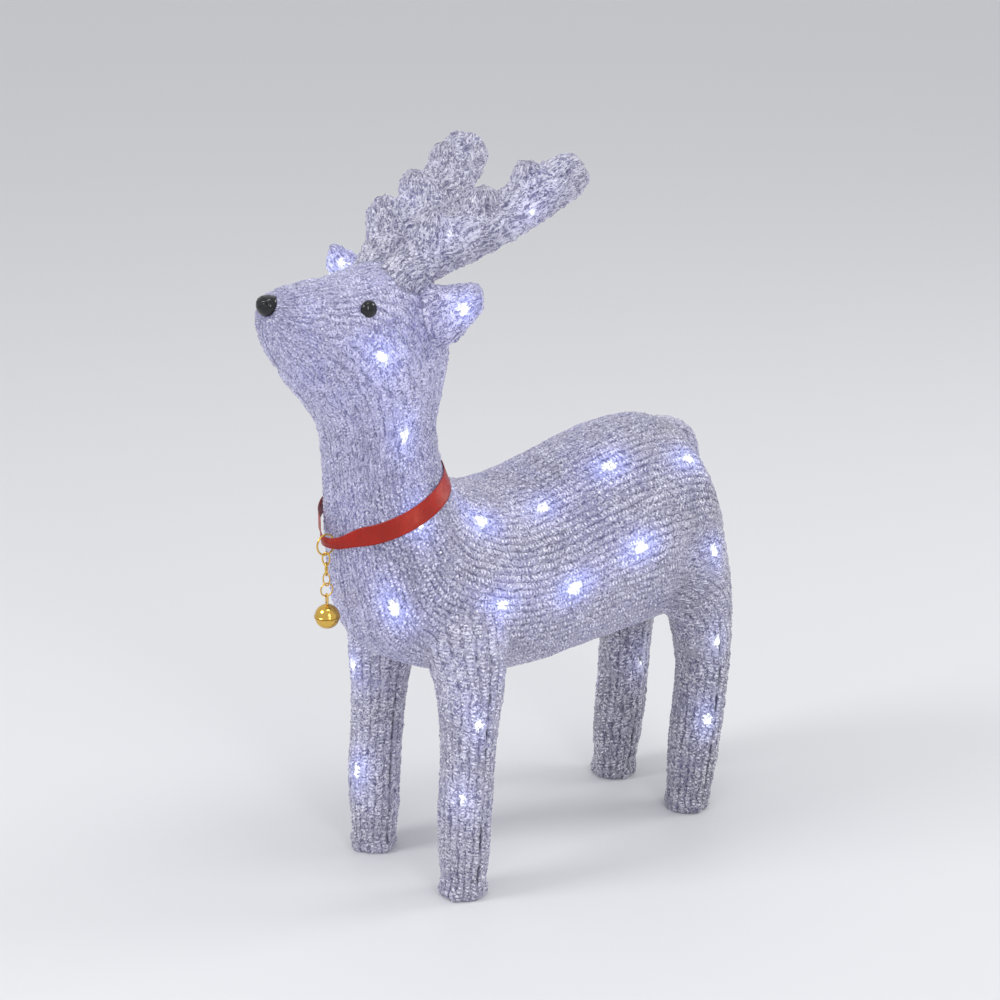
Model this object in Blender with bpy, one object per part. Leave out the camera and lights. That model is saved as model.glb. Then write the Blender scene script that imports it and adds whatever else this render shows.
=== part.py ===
# Standing light-up reindeer made of clear acrylic strand shells.
# Units in the tables are millimetres, turned into metres by MM.
# The nose points to -Y, the animal's left side is +X, +Z is up, the soles stand on z = 0.
import math
import bpy
import bmesh
import numpy as np
from mathutils import Vector
from mathutils.bvhtree import BVHTree

for old in list(bpy.data.objects):
    bpy.data.objects.remove(old, do_unlink=True)

# ---------------------------------------------------------------- dimensions
MM = 0.001
SHIFT_Y = 33.4         # brings the middle of the outline over the origin
SHIFT_Z = 3.0          # brings the soles, z = -3 in the tables, onto the floor
GAP = 0.3              # clearance between touching pieces
WALL = 2.6             # thickness of the acrylic strand shells
LEG_WALL = 2.4
ANTLER_WALL = 2.2
SOLE = 3.0             # thickness of a leg's closed sole

# Body rings from rump to muzzle: dorsal point y, z; ventral point y, z; half width.
BODY_RINGS = [
    (107.5, 160, 109.5, 143, 9), (108, 168, 111.5, 134, 17), (103.5, 187, 110, 121, 29), (95, 204, 105, 114, 36),
    (84, 216.5, 93, 109.5, 41), (68, 222, 74, 106, 43.5), (40, 221.2, 44, 104, 44), (8, 214, 10, 102.5, 44.5),
    (-20, 207.8, -24, 101.5, 46), (-43, 206, -62, 107, 48), (-59, 209.8, -97, 119.5, 47), (-68, 215, -121.5, 136.5, 42.5),
    (-74.5, 222, -130.5, 167, 36), (-77.5, 236, -134.5, 200, 30), (-77.5, 250, -137, 230, 26.5), (-72, 268, -140.5, 250.5, 27),
    (-68.5, 288, -148.5, 263.5, 29.5), (-73, 308, -156.3, 273, 30.5), (-88, 324, -163, 281.5, 29), (-108, 330.5, -168, 289, 26),
    (-128, 328, -172.5, 296, 21.5), (-148, 327.8, -175, 302, 17), (-162, 327.2, -176, 306, 13), (-170, 324.5, -176, 311, 8),
]
BODY_SEG = 12          # segments of a half ring

# Leg centre lines: x, y, z, radius across, radius along. x is for the left leg.
FRONT_LEG = [
    (38.8, -85.2, -3, 11, 11), (38.8, -85.2, 0.5, 12.6, 12.6), (38.8, -84.8, 7, 11.7, 11.7), (39, -84, 40, 13.8, 13.8),
    (38.5, -81, 80, 14.2, 14.4), (37.5, -79, 112, 17, 18.2), (32.5, -78.5, 138, 19.5, 23), (25, -77, 160, 17, 22),
]
REAR_LEG = [
    (31.3, 83, -3, 11.2, 11.2), (31.3, 83, 0.5, 12.8, 12.8), (31.3, 83.6, 7, 11.9, 11.9), (31.3, 87.4, 40, 14, 14.2),
    (31.8, 91.3, 80, 14.3, 15), (30, 90.3, 115, 15.5, 19.5), (26.5, 83.5, 150, 17, 22.5), (22, 76, 175, 15, 20),
]
LEG_SEG = 7            # segments of a half tube

ANTLER_BEAM = [
    (9, -103, 320, 11, 11), (13.6, -90, 332, 11.4, 12.2), (21.5, -66, 343.4, 12, 14.2), (30.5, -42, 355, 11.8, 13.8),
    (38.4, -23, 367, 11.4, 12.4), (41.4, -15.6, 371.6, 10.4, 11), (43.4, -11, 374.4, 7.2, 7.6),
]
ANTLER_TINES = [
    [(14, -90, 333, 9, 9), (18.5, -88, 343, 9, 9), (20, -87, 353, 8, 8), (21, -86, 358.5, 4.5, 4.5)],
    [(21.5, -64, 345, 9, 9), (25, -62, 356, 9, 9), (27, -61, 363, 8, 8), (27, -61, 368, 4.5, 4.5)],
    [(33, -36.8, 358.5, 9, 9), (33, -37.6, 367, 8.4, 8.4), (33, -37.4, 374, 7.2, 7.2), (33, -36.6, 378.5, 4.2, 4.2)],
]
EAR = [
    (18, -90, 305, 7, 13), (28, -90, 307, 7.4, 15), (36, -90, 310.5, 7.2, 14.2), (45, -90.3, 315.5, 6.6, 11.8),
    (53, -90.7, 319.5, 5.4, 9.8), (59, -91, 323, 3.6, 6.8), (61.5, -91, 323.5, 1.8, 4),
]
TAIL = [
    (0, 74, 211.5, 3, 7), (0, 86, 212.8, 4.6, 11), (0, 97.5, 208, 5.6, 12.5), (0, 104, 197, 5.2, 11),
    (0, 107.2, 186.5, 3.9, 7.5), (0, 108.8, 180.5, 1.6, 3.4),
]
EYE_SPOT = (-130.5, 315.5)   # y, z
EYE_R = 4.6
NOSE_AT = (0, -172.5, 319.5)
NOSE_R = 6.0

# Ribbon: the loop's plane runs from its back point to its front point.
RIBBON_BACK = (-68, 226.5)   # y, z
RIBBON_FRONT = (-141.3, 193.2)
RIBBON_W = 10.0
RIBBON_W_FRONT = 5.8         # gathered where it goes through the ring
RIBBON_T = 0.5

# Hanging chain, one line at x = 0, y = CHAIN_Y.
CHAIN_Y = -141.3
RING1 = dict(z=191.8, r=5.3, wire=0.5, yaw=0.0)
LINKS = [dict(z=184.4, yaw=-50.0), dict(z=178.9, yaw=42.0), dict(z=173.4, yaw=-62.0)]
LINK_A, LINK_B, LINK_WIRE = 1.85, 3.35, 0.45
RING2 = dict(z=167.9, r=3.35, wire=0.45, yaw=-8.0)
LOOP_YAW = 72.0
LOOP_R, LOOP_WIRE, LOOP_Z = 1.5, 0.4, 164.2
BELL_Z, BELL_R, BELL_T = 153.7, 6.4, 0.5
CLAPPER_R = 1.9

# LED seats on the shell, left side, along the string's way up from the belly.
SEATS = [
    (40, 80, 150), (30, 76, 202), (27.5, 24.7, 208), (44, 33.5, 164.7), (45.3, -14.7, 152.7),
    (30.5, -23.9, 192.5), (33, -66, 192.5), (46.5, -63, 155), (26.1, -116, 161), (31, -107, 205.7),
    (26, -108, 249.4), (29, -124, 292), (24, -98, 314),
]
SEAT_INSET = 9.0
BEAD_R, WIRE_R = 2.4, 0.9

# ---------------------------------------------------------------- materials
def material(name, colour, roughness, metallic=0.0, transmission=0.0, glow=None):
    m = bpy.data.materials.new(name)
    m.use_nodes = True
    b = m.node_tree.nodes["Principled BSDF"]
    b.inputs["Base Color"].default_value = (*colour, 1)
    b.inputs["Roughness"].default_value = roughness
    b.inputs["Metallic"].default_value = metallic
    b.inputs["Transmission Weight"].default_value = transmission
    if glow:
        b.inputs["Emission Color"].default_value = (*glow, 1)
        b.inputs["Emission Strength"].default_value = 2.0
    m.diffuse_color = (*colour, 1)
    return m

PALETTE = {
    "acrylic": ((0.72, 0.73, 0.88), 0.18, 0.0, 0.35, None),
    "black_gloss": ((0.012, 0.012, 0.014), 0.08, 0.0, 0.0, None),
    "red_satin": ((0.55, 0.008, 0.012), 0.38, 0.0, 0.0, None),
    "gold": ((0.86, 0.62, 0.22), 0.16, 1.0, 0.0, None),
    "steel_ball": ((0.45, 0.44, 0.42), 0.3, 1.0, 0.0, None),
    "led_string": ((0.85, 0.88, 1.0), 0.3, 0.0, 0.2, (0.7, 0.78, 1.0)),
    "grommet_rubber": ((0.75, 0.75, 0.78), 0.6, 0.0, 0.0, None),
}

# ---------------------------------------------------------------- mesh helpers
def place(p):
    return (p[0] * MM, (p[1] + SHIFT_Y) * MM, (p[2] + SHIFT_Z) * MM)

def add(name, verts, faces, mat, cutter=False):
    me = bpy.data.meshes.new(name)
    me.from_pydata([place(v) for v in verts], [], faces)
    me.validate()
    bm = bmesh.new()
    bm.from_mesh(me)
    bmesh.ops.recalc_face_normals(bm, faces=bm.faces)
    bm.to_mesh(me)
    bm.free()
    me.shade_smooth()
    me.set_sharp_from_angle(angle=math.radians(50))
    ob = bpy.data.objects.new(name, me)
    bpy.context.scene.collection.objects.link(ob)
    if cutter:
        ob.hide_render = True
        ob.display_type = "WIRE"
    else:
        me.materials.append(material(name, *PALETTE[mat]))
    return ob

def set_origin(ob, p):
    at = Vector(place(p))
    for v in ob.data.vertices:
        v.co -= at
    ob.location = at

def cut(ob, other, how="DIFFERENCE"):
    m = ob.modifiers.new(how.lower() + "_" + other.name, "BOOLEAN")
    m.operation = how
    m.solver = "EXACT"
    m.object = other

def smooth_rows(rows, n):
    """Catmull-Rom rows, n steps for each span."""
    p = np.asarray(rows, float)
    q = np.vstack([2 * p[0] - p[1], p, 2 * p[-1] - p[-2]])
    out = []
    for i in range(1, len(q) - 2):
        for t in np.linspace(0, 1, n, endpoint=False):
            a, b, c, d = q[i - 1], q[i], q[i + 1], q[i + 2]
            out.append(0.5 * (2 * b + (c - a) * t + (2 * a - 5 * b + 4 * c - d) * t * t
                              + (3 * b - a - 3 * c + d) * t ** 3))
    out.append(q[-2])
    return np.array(out)

def grid_faces(n, m, base=0, close=True):
    f = []
    for i in range(n - 1):
        for j in range(m if close else m - 1):
            k = (j + 1) % m
            f.append((base + i * m + j, base + i * m + k, base + (i + 1) * m + k, base + (i + 1) * m + j))
    return f

# ---------------------------------------------------------------- body form
def body_ring(row, angles, grow, side_gap=0.0):
    d, v = np.array(row[:2]), np.array(row[2:4])
    c, h = (d + v) / 2, (d - v) / 2
    length = np.linalg.norm(h)
    h = h * (length + grow) / length
    w = row[4] + grow
    return np.stack([w * np.sin(angles) + side_gap, c[0] + h[0] * np.cos(angles), c[1] + h[1] * np.cos(angles)], 1)

def end_push(rows, i, sign, grow):
    """Shift of an end ring outwards along the body's axis."""
    c = [np.array([(r[0] + r[2]) / 2, (r[1] + r[3]) / 2]) for r in (rows[i], rows[i + (1 if sign < 0 else -1)])]
    d = c[0] - c[1]
    d /= np.linalg.norm(d)
    return np.array([0, d[0], d[1]]) * grow

def full_body(name, grow):
    """The body's outside as one closed solid, grown by a clearance."""
    rows = smooth_rows(BODY_RINGS, 1)
    th = np.linspace(0, 2 * math.pi, 2 * BODY_SEG, endpoint=False)
    rings = [body_ring(r, th, grow) for r in rows]
    rings[0] = rings[0] + end_push(rows, 0, -1, grow)
    rings[-1] = rings[-1] + end_push(rows, len(rows) - 1, 1, grow)
    m = len(th)
    faces = grid_faces(len(rings), m)
    faces += [tuple(range(m)), tuple(range((len(rings) - 1) * m, len(rings) * m))]
    return add(name, np.vstack(rings), faces, None, cutter=True)

def body_half(name, side):
    """Half shell: outer and inner skins joined by a flat rim on the middle plane."""
    rows = smooth_rows(BODY_RINGS, 1)
    n, m = len(rows), BODY_SEG + 1
    a, b = 2, n - 3                      # the hollow runs from ring a to ring b
    th = np.linspace(0, math.pi, m)
    outer = np.vstack([body_ring(r, th, 0, GAP / 2) for r in rows])
    inner = np.vstack([body_ring(rows[i], th, -WALL - (1.4 if i in (a, b) else 0), GAP / 2) for i in range(a, b + 1)])
    inner[:, 0] = np.maximum(inner[:, 0], GAP / 2)
    verts = np.vstack([outer, inner])
    ib = n * m
    k = b - a + 1
    faces = grid_faces(n, m, 0, False) + grid_faces(k, m, ib, False)
    O = lambda i, j: i * m + j
    I = lambda i, j: ib + (i - a) * m + j
    faces += [tuple(O(0, j) for j in range(m)), tuple(O(n - 1, j) for j in range(m))]
    faces += [tuple(I(a, j) for j in range(m)), tuple(I(b, j) for j in range(m))]
    for i in range(a, b):
        for j in (0, m - 1):
            faces.append((O(i, j), O(i + 1, j), I(i + 1, j), I(i, j)))
    faces.append(tuple([O(i, 0) for i in range(0, a + 1)] + [I(a, 0), I(a, m - 1)] + [O(i, m - 1) for i in range(a, -1, -1)]))
    faces.append(tuple([O(i, 0) for i in range(b, n)] + [O(i, m - 1) for i in range(n - 1, b - 1, -1)] + [I(b, m - 1), I(b, 0)]))
    verts[:, 0] *= side
    return add(name, verts, faces, "acrylic")

# ---------------------------------------------------------------- tubes
def frames(pts, up):
    t = np.gradient(pts, axis=0)
    t /= np.linalg.norm(t, axis=1)[:, None]
    a = np.cross(up, t)
    a /= np.linalg.norm(a, axis=1)[:, None]
    return a, np.cross(t, a)

def tube(name, rows, seg, mat, up=(0, 1, 0), n=1, side=1, cutter=False, shrink=0.0, start=None, stop=None):
    p = smooth_rows(rows, n)
    if shrink:
        p = p.copy()
        p[:, 3:] -= shrink
        d0, d1 = p[0, :3] - p[1, :3], p[-1, :3] - p[-2, :3]
        p[0, :3] += d0 / np.linalg.norm(d0) * (start or 0)
        p[-1, :3] += d1 / np.linalg.norm(d1) * (stop or 0)
        p[:, 3:] = np.maximum(p[:, 3:], 1.6)
    a, b = frames(p[:, :3], np.array(up, float))
    th = np.linspace(0, 2 * math.pi, seg, endpoint=False)
    rings = [p[i, :3] + np.outer(np.cos(th) * p[i, 3], a[i]) + np.outer(np.sin(th) * p[i, 4], b[i]) for i in range(len(p))]
    v = np.vstack(rings)
    v[:, 0] *= side
    f = grid_faces(len(rings), seg) + [tuple(range(seg)), tuple(range((len(rings) - 1) * seg, len(rings) * seg))]
    return add(name, v, f, mat, cutter=cutter)

def leg_half(name, rows, side, front):
    """Half tube with a closed sole, split across the leg into a front and a rear half."""
    p = smooth_rows(rows, 1)
    m = LEG_SEG + 1
    th = np.linspace(0, math.pi, m)
    sgn = -1 if front else 1
    def arc(c, rx, ry):
        return np.stack([c[0] + rx * np.cos(th), c[1] + sgn * (ry * np.sin(th) + GAP / 2), np.full(m, c[2])], 1)
    outer = [arc(r[:3], r[3], r[4]) for r in p]
    inner = []
    for i, r in enumerate(p):
        if i == 0:
            continue
        c = r[:3].copy()
        if i == 1:
            c[2] = p[0][2] + SOLE + 0.4
        inner.append(arc(c, r[3] - LEG_WALL, r[4] - LEG_WALL))
    n, k = len(outer), len(inner)
    v = np.vstack(outer + inner)
    ib = n * m
    f = grid_faces(n, m, 0, False) + grid_faces(k, m, ib, False)
    O = lambda i, j: i * m + j
    I = lambda i, j: ib + (i - 1) * m + j
    f += [tuple(O(0, j) for j in range(m)), tuple(I(1, j) for j in range(m))]
    f += [(O(n - 1, j), O(n - 1, j + 1), I(n - 1, j + 1), I(n - 1, j)) for j in range(m - 1)]
    for i in range(1, n - 1):
        for j in (0, m - 1):
            f.append((O(i, j), O(i + 1, j), I(i + 1, j), I(i, j)))
    f.append((O(0, 0), O(1, 0), I(1, 0), I(1, m - 1), O(1, m - 1), O(0, m - 1)))
    v[:, 0] *= side
    return add(name, v, f, "acrylic")

def lathe(name, profile, seg, mat, centre, cutter=False):
    """Closed profile of (r, z) turned about +Z; r = 0 makes a pole."""
    v, idx = [], []
    for r, z in profile:
        if r < 1e-6:
            idx.append([len(v)] * seg)
            v.append((centre[0], centre[1], centre[2] + z))
        else:
            idx.append(list(range(len(v), len(v) + seg)))
            v += [(centre[0] + r * math.cos(2 * math.pi * j / seg), centre[1] + r * math.sin(2 * math.pi * j / seg),
                   centre[2] + z) for j in range(seg)]
    f = []
    for i in range(len(profile)):
        a, b = idx[i], idx[(i + 1) % len(profile)]
        if a[0] == a[1] and b[0] == b[1]:
            continue
        for j in range(seg):
            k = (j + 1) % seg
            q = []
            for x in (a[j], a[k], b[k], b[j]):
                if x not in q:
                    q.append(x)
            f.append(tuple(q))
    return add(name, v, f, mat, cutter=cutter)

def ball(name, centre, rx, ry, rz, seg, rings, mat, cutter=False):
    v = [(centre[0], centre[1], centre[2] - rz)]
    for i in range(1, rings):
        t = -math.pi / 2 + math.pi * i / rings
        for j in range(seg):
            u = 2 * math.pi * j / seg
            v.append((centre[0] + rx * math.cos(t) * math.cos(u), centre[1] + ry * math.cos(t) * math.sin(u),
                      centre[2] + rz * math.sin(t)))
    v.append((centre[0], centre[1], centre[2] + rz))
    f = []
    for j in range(seg):
        k = (j + 1) % seg
        f.append((0, 1 + k, 1 + j))
        top = 1 + (rings - 2) * seg
        f.append((len(v) - 1, top + j, top + k))
        for i in range(rings - 2):
            f.append((1 + i * seg + j, 1 + i * seg + k, 1 + (i + 1) * seg + k, 1 + (i + 1) * seg + j))
    return add(name, v, f, mat, cutter=cutter)

def wire_loop(name, centre, a, b, wire, yaw, seg, side_seg, mat):
    """Closed oval of round wire; yaw is the heading of the oval's normal."""
    ny = math.radians(yaw)
    nrm = np.array([math.cos(ny), math.sin(ny), 0])
    hor = np.array([-math.sin(ny), math.cos(ny), 0])
    up = np.array([0, 0, 1.0])
    v = []
    for i in range(seg):
        t = 2 * math.pi * i / seg
        c = hor * a * math.cos(t) + up * b * math.sin(t)
        out = hor * math.cos(t) * b + up * math.sin(t) * a
        out /= np.linalg.norm(out)
        for j in range(side_seg):
            u = 2 * math.pi * j / side_seg
            v.append(np.array(centre) + c + out * wire * math.cos(u) + nrm * wire * math.sin(u))
    f = []
    for i in range(seg):
        for j in range(side_seg):
            i2, j2 = (i + 1) % seg, (j + 1) % side_seg
            f.append((i * side_seg + j, i * side_seg + j2, i2 * side_seg + j2, i2 * side_seg + j))
    return add(name, np.array(v), f, mat)

def string(name, pts, beads, seg=6, step=16.0):
    """Wire with moulded LED seats: one tube that swells at each bead."""
    p = smooth_rows(pts, 12)
    s = np.concatenate([[0], np.cumsum(np.linalg.norm(np.diff(p, axis=0), axis=1))])
    marks = [(0.0, WIRE_R), (s[-1], WIRE_R)]
    for i in beads:
        c = min(max(s[i * 12], 4.2), s[-1] - 4.2)
        marks += [(c - 3.2, WIRE_R), (c - 2.3, BEAD_R), (c + 2.3, BEAD_R), (c + 3.2, WIRE_R)]
    marks.sort()
    rows = [marks[0]]
    for a, b in zip(marks, marks[1:]):
        extra = int((b[0] - a[0]) // step)
        for e in range(extra):
            rows.append((a[0] + (b[0] - a[0]) * (e + 1) / (extra + 1), WIRE_R))
        rows.append(b)
    pos = np.array([[np.interp(r[0], s, p[:, k]) for k in range(3)] for r in rows])
    fine = np.gradient(p, axis=0)
    tan = np.array([[np.interp(r[0], s, fine[:, k]) for k in range(3)] for r in rows])
    tan /= np.linalg.norm(tan, axis=1)[:, None]
    a = np.cross(tan[0], (0.3, 0.5, 0.81))
    a /= np.linalg.norm(a)
    th = np.linspace(0, 2 * math.pi, seg, endpoint=False)
    v = []
    for c, t, r in zip(pos, tan, rows):
        a = a - t * (a @ t)
        a /= np.linalg.norm(a)
        b = np.cross(t, a)
        v.append(c + np.outer(np.cos(th) * r[1], a) + np.outer(np.sin(th) * r[1], b))
    v = np.vstack(v)
    k = len(rows)
    f = grid_faces(k, seg) + [tuple(range(seg)), tuple(range((k - 1) * seg, k * seg))]
    return add(name, v, f, "led_string")

# ---------------------------------------------------------------- shells
clear_body = full_body("guide_body_clearance", GAP + 0.15)
shells = {}
for word, side in (("left", 1), ("right", -1)):
    shells[word] = body_half("body_shell_" + word, side)
    for end, rows in (("front", FRONT_LEG), ("rear", REAR_LEG)):
        for half in ("front", "rear"):
            ob = leg_half(f"{end}_{word}_leg_{half}_half", rows, side, half == "front")
            cut(ob, clear_body)

    beam = tube("antler_" + word, ANTLER_BEAM, 12, "acrylic", n=1, side=side)
    for i, t in enumerate(ANTLER_TINES):
        cut(beam, tube(f"guide_tine_{i}_{word}", t, 10, None, n=1, side=side, cutter=True), "UNION")
    cut(beam, tube("guide_beam_hollow_" + word, ANTLER_BEAM, 12, None, n=1, side=side, cutter=True,
                   shrink=ANTLER_WALL, start=6, stop=-3.0))
    for i, t in enumerate(ANTLER_TINES):
        cut(beam, tube(f"guide_tine_hollow_{i}_{word}", t, 10, None, n=1, side=side, cutter=True,
                       shrink=ANTLER_WALL + 0.6, start=0, stop=-3.0))
    cut(beam, clear_body)

    ear = tube("ear_" + word, EAR, 12, "acrylic", up=(0, 0, 1), n=1, side=side)
    cut(ear, clear_body)

tail = tube("tail", TAIL, 10, "acrylic", up=(1, 0, 0), n=1)
cut(tail, clear_body)

# ---------------------------------------------------------------- nose and eyes
nose = ball("nose", NOSE_AT, NOSE_R, NOSE_R, NOSE_R, 14, 9, "black_gloss")
cut(nose, clear_body)

deps = bpy.context.evaluated_depsgraph_get()
skin = BVHTree.FromObject(clear_body, deps)

def hit(origin, direction):
    at = skin.ray_cast(Vector(place(origin)), Vector(direction).normalized())[0]
    return np.array([at.x / MM, at.y / MM - SHIFT_Y, at.z / MM - SHIFT_Z])

for word, side in (("left", 1), ("right", -1)):
    at = hit((60 * side, EYE_SPOT[0], EYE_SPOT[1]), (-side, 0, 0))
    eye = ball("eye_" + word, (at[0] - 0.9 * side, at[1], at[2]), 3.6, EYE_R, EYE_R, 14, 8, "black_gloss")
    cut(eye, clear_body)

# ---------------------------------------------------------------- ribbon collar
back, front = np.array([0, *RIBBON_BACK]), np.array([0, *RIBBON_FRONT])
middle = (back + front) / 2
ahead = (front - back) / np.linalg.norm(front - back)
across = np.array([1.0, 0, 0])
upward = np.cross(across, ahead)
if upward[2] < 0:
    upward = -upward
N_RIBBON = 44
inner_hi, inner_lo, outer_hi, outer_lo = [], [], [], []
for i in range(N_RIBBON):
    f = 2 * math.pi * i / N_RIBBON
    d = ahead * math.cos(f) + across * math.sin(f)
    hi, lo = hit(middle + upward * 4, d), hit(middle - upward * 4, d)
    mid = hit(middle, d)
    rise = (hi - lo) / np.linalg.norm(hi - lo)
    near = max(0.0, 1 - abs(math.atan2(math.sin(f), math.cos(f))) / 0.62)   # 1 at the ring, 0 on the neck
    near = near * near * (3 - 2 * near)
    rise = rise * (1 - near) + np.array([0, 0, 1.0]) * near
    rise /= np.linalg.norm(rise)
    target = front[None][0]
    reach = (target - mid) @ d
    mid = mid + d * (0.9 + max(reach - 0.9, 0) * near)
    mid = mid + np.array([0, 0, front[2] - mid[2]]) * (near ** 3)
    w = (RIBBON_W * (1 - near) + RIBBON_W_FRONT * near) / 2
    out = np.cross(rise, -np.cross(rise, d))
    out = d - rise * (d @ rise)
    out /= np.linalg.norm(out)
    inner_hi.append(mid + rise * w)
    inner_lo.append(mid - rise * w)
    outer_hi.append(mid + rise * w + out * RIBBON_T)
    outer_lo.append(mid - rise * w + out * RIBBON_T)
v, f = [], []
for i in range(N_RIBBON):
    v += [inner_hi[i], outer_hi[i], outer_lo[i], inner_lo[i]]
for i in range(N_RIBBON):
    k = (i + 1) % N_RIBBON
    for j in range(4):
        f.append((i * 4 + j, i * 4 + (j + 1) % 4, k * 4 + (j + 1) % 4, k * 4 + j))
add("ribbon_collar", np.array(v), f, "red_satin")

# ---------------------------------------------------------------- chain and bell
ring1 = wire_loop("jump_ring_upper", (0, CHAIN_Y, RING1["z"]), RING1["r"], RING1["r"], RING1["wire"], RING1["yaw"], 24, 6, "gold")
set_origin(ring1, (0, CHAIN_Y, RING1["z"] + RING1["r"]))
pivot = RING1["z"] - RING1["r"]
for i, link in enumerate(LINKS):
    ob = wire_loop(f"chain_link_{i + 1}", (0, CHAIN_Y, link["z"]), LINK_A, LINK_B, LINK_WIRE, link["yaw"], 16, 6, "gold")
    set_origin(ob, (0, CHAIN_Y, pivot))
    pivot = link["z"] - LINK_B
ring2 = wire_loop("jump_ring_lower", (0, CHAIN_Y, RING2["z"]), RING2["r"], RING2["r"], RING2["wire"], RING2["yaw"], 20, 6, "gold")
set_origin(ring2, (0, CHAIN_Y, pivot))
bell_pivot = RING2["z"] - RING2["r"]

def bell_profile(sign):
    """Bowl from the seam to the pole, wall BELL_T, with a small rolled seam lip."""
    steps = 6
    out = [(BELL_R + 0.25, 0.15), (BELL_R + 0.25, 0.6)]
    out += [(BELL_R * math.cos(math.pi / 2 * i / steps), BELL_R * math.sin(math.pi / 2 * i / steps)) for i in range(1, steps)]
    out += [(0, BELL_R), (0, BELL_R - BELL_T)]
    r = BELL_R - BELL_T
    out += [(r * math.cos(math.pi / 2 * i / steps), r * math.sin(math.pi / 2 * i / steps)) for i in range(steps - 1, 0, -1)]
    out += [(r, 0.15)]
    return [(a, b * sign) for a, b in out]

bell_at = (0, CHAIN_Y, BELL_Z)
upper = lathe("bell_shell_upper", bell_profile(1), 20, "gold", bell_at)
lower = lathe("bell_shell_lower", bell_profile(-1), 20, "gold", bell_at)
ly = math.radians(LOOP_YAW)
def slot_box(name, lx, wy, z0, z1):
    c, s = math.cos(ly), math.sin(ly)
    v = []
    for x, y, z in [(sx * lx, sy * wy, zz) for zz in (z0, z1) for sy in (-1, 1) for sx in (-1, 1)]:
        v.append((x * c - y * s, CHAIN_Y + x * s + y * c, BELL_Z + z))
    f = [(0, 1, 3, 2), (4, 6, 7, 5), (0, 4, 5, 1), (2, 3, 7, 6), (0, 2, 6, 4), (1, 5, 7, 3)]
    return add(name, v, f, None, cutter=True)
cut(lower, slot_box("guide_bell_slot", 3.6, 0.45, -8, -3))
for s in (-1, 1):
    hole = lathe(f"guide_bell_hole_{'a' if s < 0 else 'b'}", [(0, -8), (1.1, -8), (1.1, -3), (0, -3)], 10, None,
                 (3.6 * s * math.cos(ly), CHAIN_Y + 3.6 * s * math.sin(ly), BELL_Z), cutter=True)
    cut(lower, hole)
clapper = ball("bell_clapper", (0, CHAIN_Y, BELL_Z - BELL_R + BELL_T + CLAPPER_R + 0.35), CLAPPER_R, CLAPPER_R, CLAPPER_R, 10, 7, "steel_ball")

# wire eye of the bell: an arch with two straight feet
arch = [(-LOOP_R, BELL_Z + BELL_R + 0.25)] + \
       [(-LOOP_R * math.cos(math.pi * i / 8), LOOP_Z + LOOP_R * math.sin(math.pi * i / 8)) for i in range(9)] + \
       [(LOOP_R, BELL_Z + BELL_R + 0.25)]
hx, hy = math.cos(ly + math.pi / 2), math.sin(ly + math.pi / 2)
rows = np.array([(a * hx, CHAIN_Y + a * hy, z, LOOP_WIRE, LOOP_WIRE) for a, z in arch])
eye_loop = tube("bell_loop", rows, 6, "gold", up=(math.cos(ly), math.sin(ly), 0))
for ob in (upper, lower, eye_loop, clapper):
    set_origin(ob, (0, CHAIN_Y, bell_pivot))

# ---------------------------------------------------------------- light string
axis_rows = smooth_rows(BODY_RINGS, 4)
axis = np.stack([np.zeros(len(axis_rows)), (axis_rows[:, 0] + axis_rows[:, 2]) / 2, (axis_rows[:, 1] + axis_rows[:, 3]) / 2], 1)
def seat(p):
    p = np.array(p, float)
    c = axis[np.argmin(np.linalg.norm(axis - p, axis=1))]
    return p + (c - p) / np.linalg.norm(c - p) * SEAT_INSET
left = [seat(p) for p in SEATS]
right = [seat((-x, y + 5, z - 3)) for x, y, z in reversed(SEATS)]
way = [np.array([6, 66, 117])] + left + [np.array([0, -100, 318])] + right + [np.array([-6, 58, 117])]
beads = [i for i in range(1, len(way) - 1) if i != len(left) + 1]
string("led_string_body", way, beads)
for word, side in (("left", 1), ("right", -1)):
    for end, rows in (("front", FRONT_LEG), ("rear", REAR_LEG)):
        y0, x0 = rows[3][1], rows[3][0]
        pts = [(x0 + 4, rows[2][1] + 2, 14), (x0 + 5, y0 - 3, 30), (x0 + 5.5, y0 - 4, 54), (x0 + 1, rows[4][1] + 3, 74),
               (x0 + 3, rows[4][1] - 5, 94), (x0 - 1, rows[5][1], 112)]
        string(f"led_string_{end}_{word}_leg", [(x * side, y, z) for x, y, z in pts], (0, 2, 4))
    pts = [(16, -83, 337), (21.5, -66, 345.5), (30.5, -42, 356), (37.5, -24, 366)]
    string("led_string_antler_" + word, [(x * side, y, z) for x, y, z in pts], (1, 3))

# ---------------------------------------------------------------- lead outlet
GROMMET = (0, 62, 105.0)
hole = lathe("guide_grommet_hole", [(0, -12), (3.3, -12), (3.3, 12), (0, 12)], 12, None, GROMMET, cutter=True)
cut(shells["left"], hole)
cut(shells["right"], hole)
lathe("lead_grommet", [(1.6, -1.6), (5.0, -1.6), (5.0, -0.4), (3.0, -0.2), (3.0, 3.6), (1.6, 3.6)], 12, "grommet_rubber",
      (GROMMET[0], GROMMET[1], GROMMET[2]))
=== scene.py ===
# Looks of the light up reindeer: strand shells, light strings, ribbon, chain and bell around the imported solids.
import math
import bpy
import numpy as np
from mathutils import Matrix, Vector
from mathutils.kdtree import KDTree
from mathutils.bvhtree import BVHTree

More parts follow.
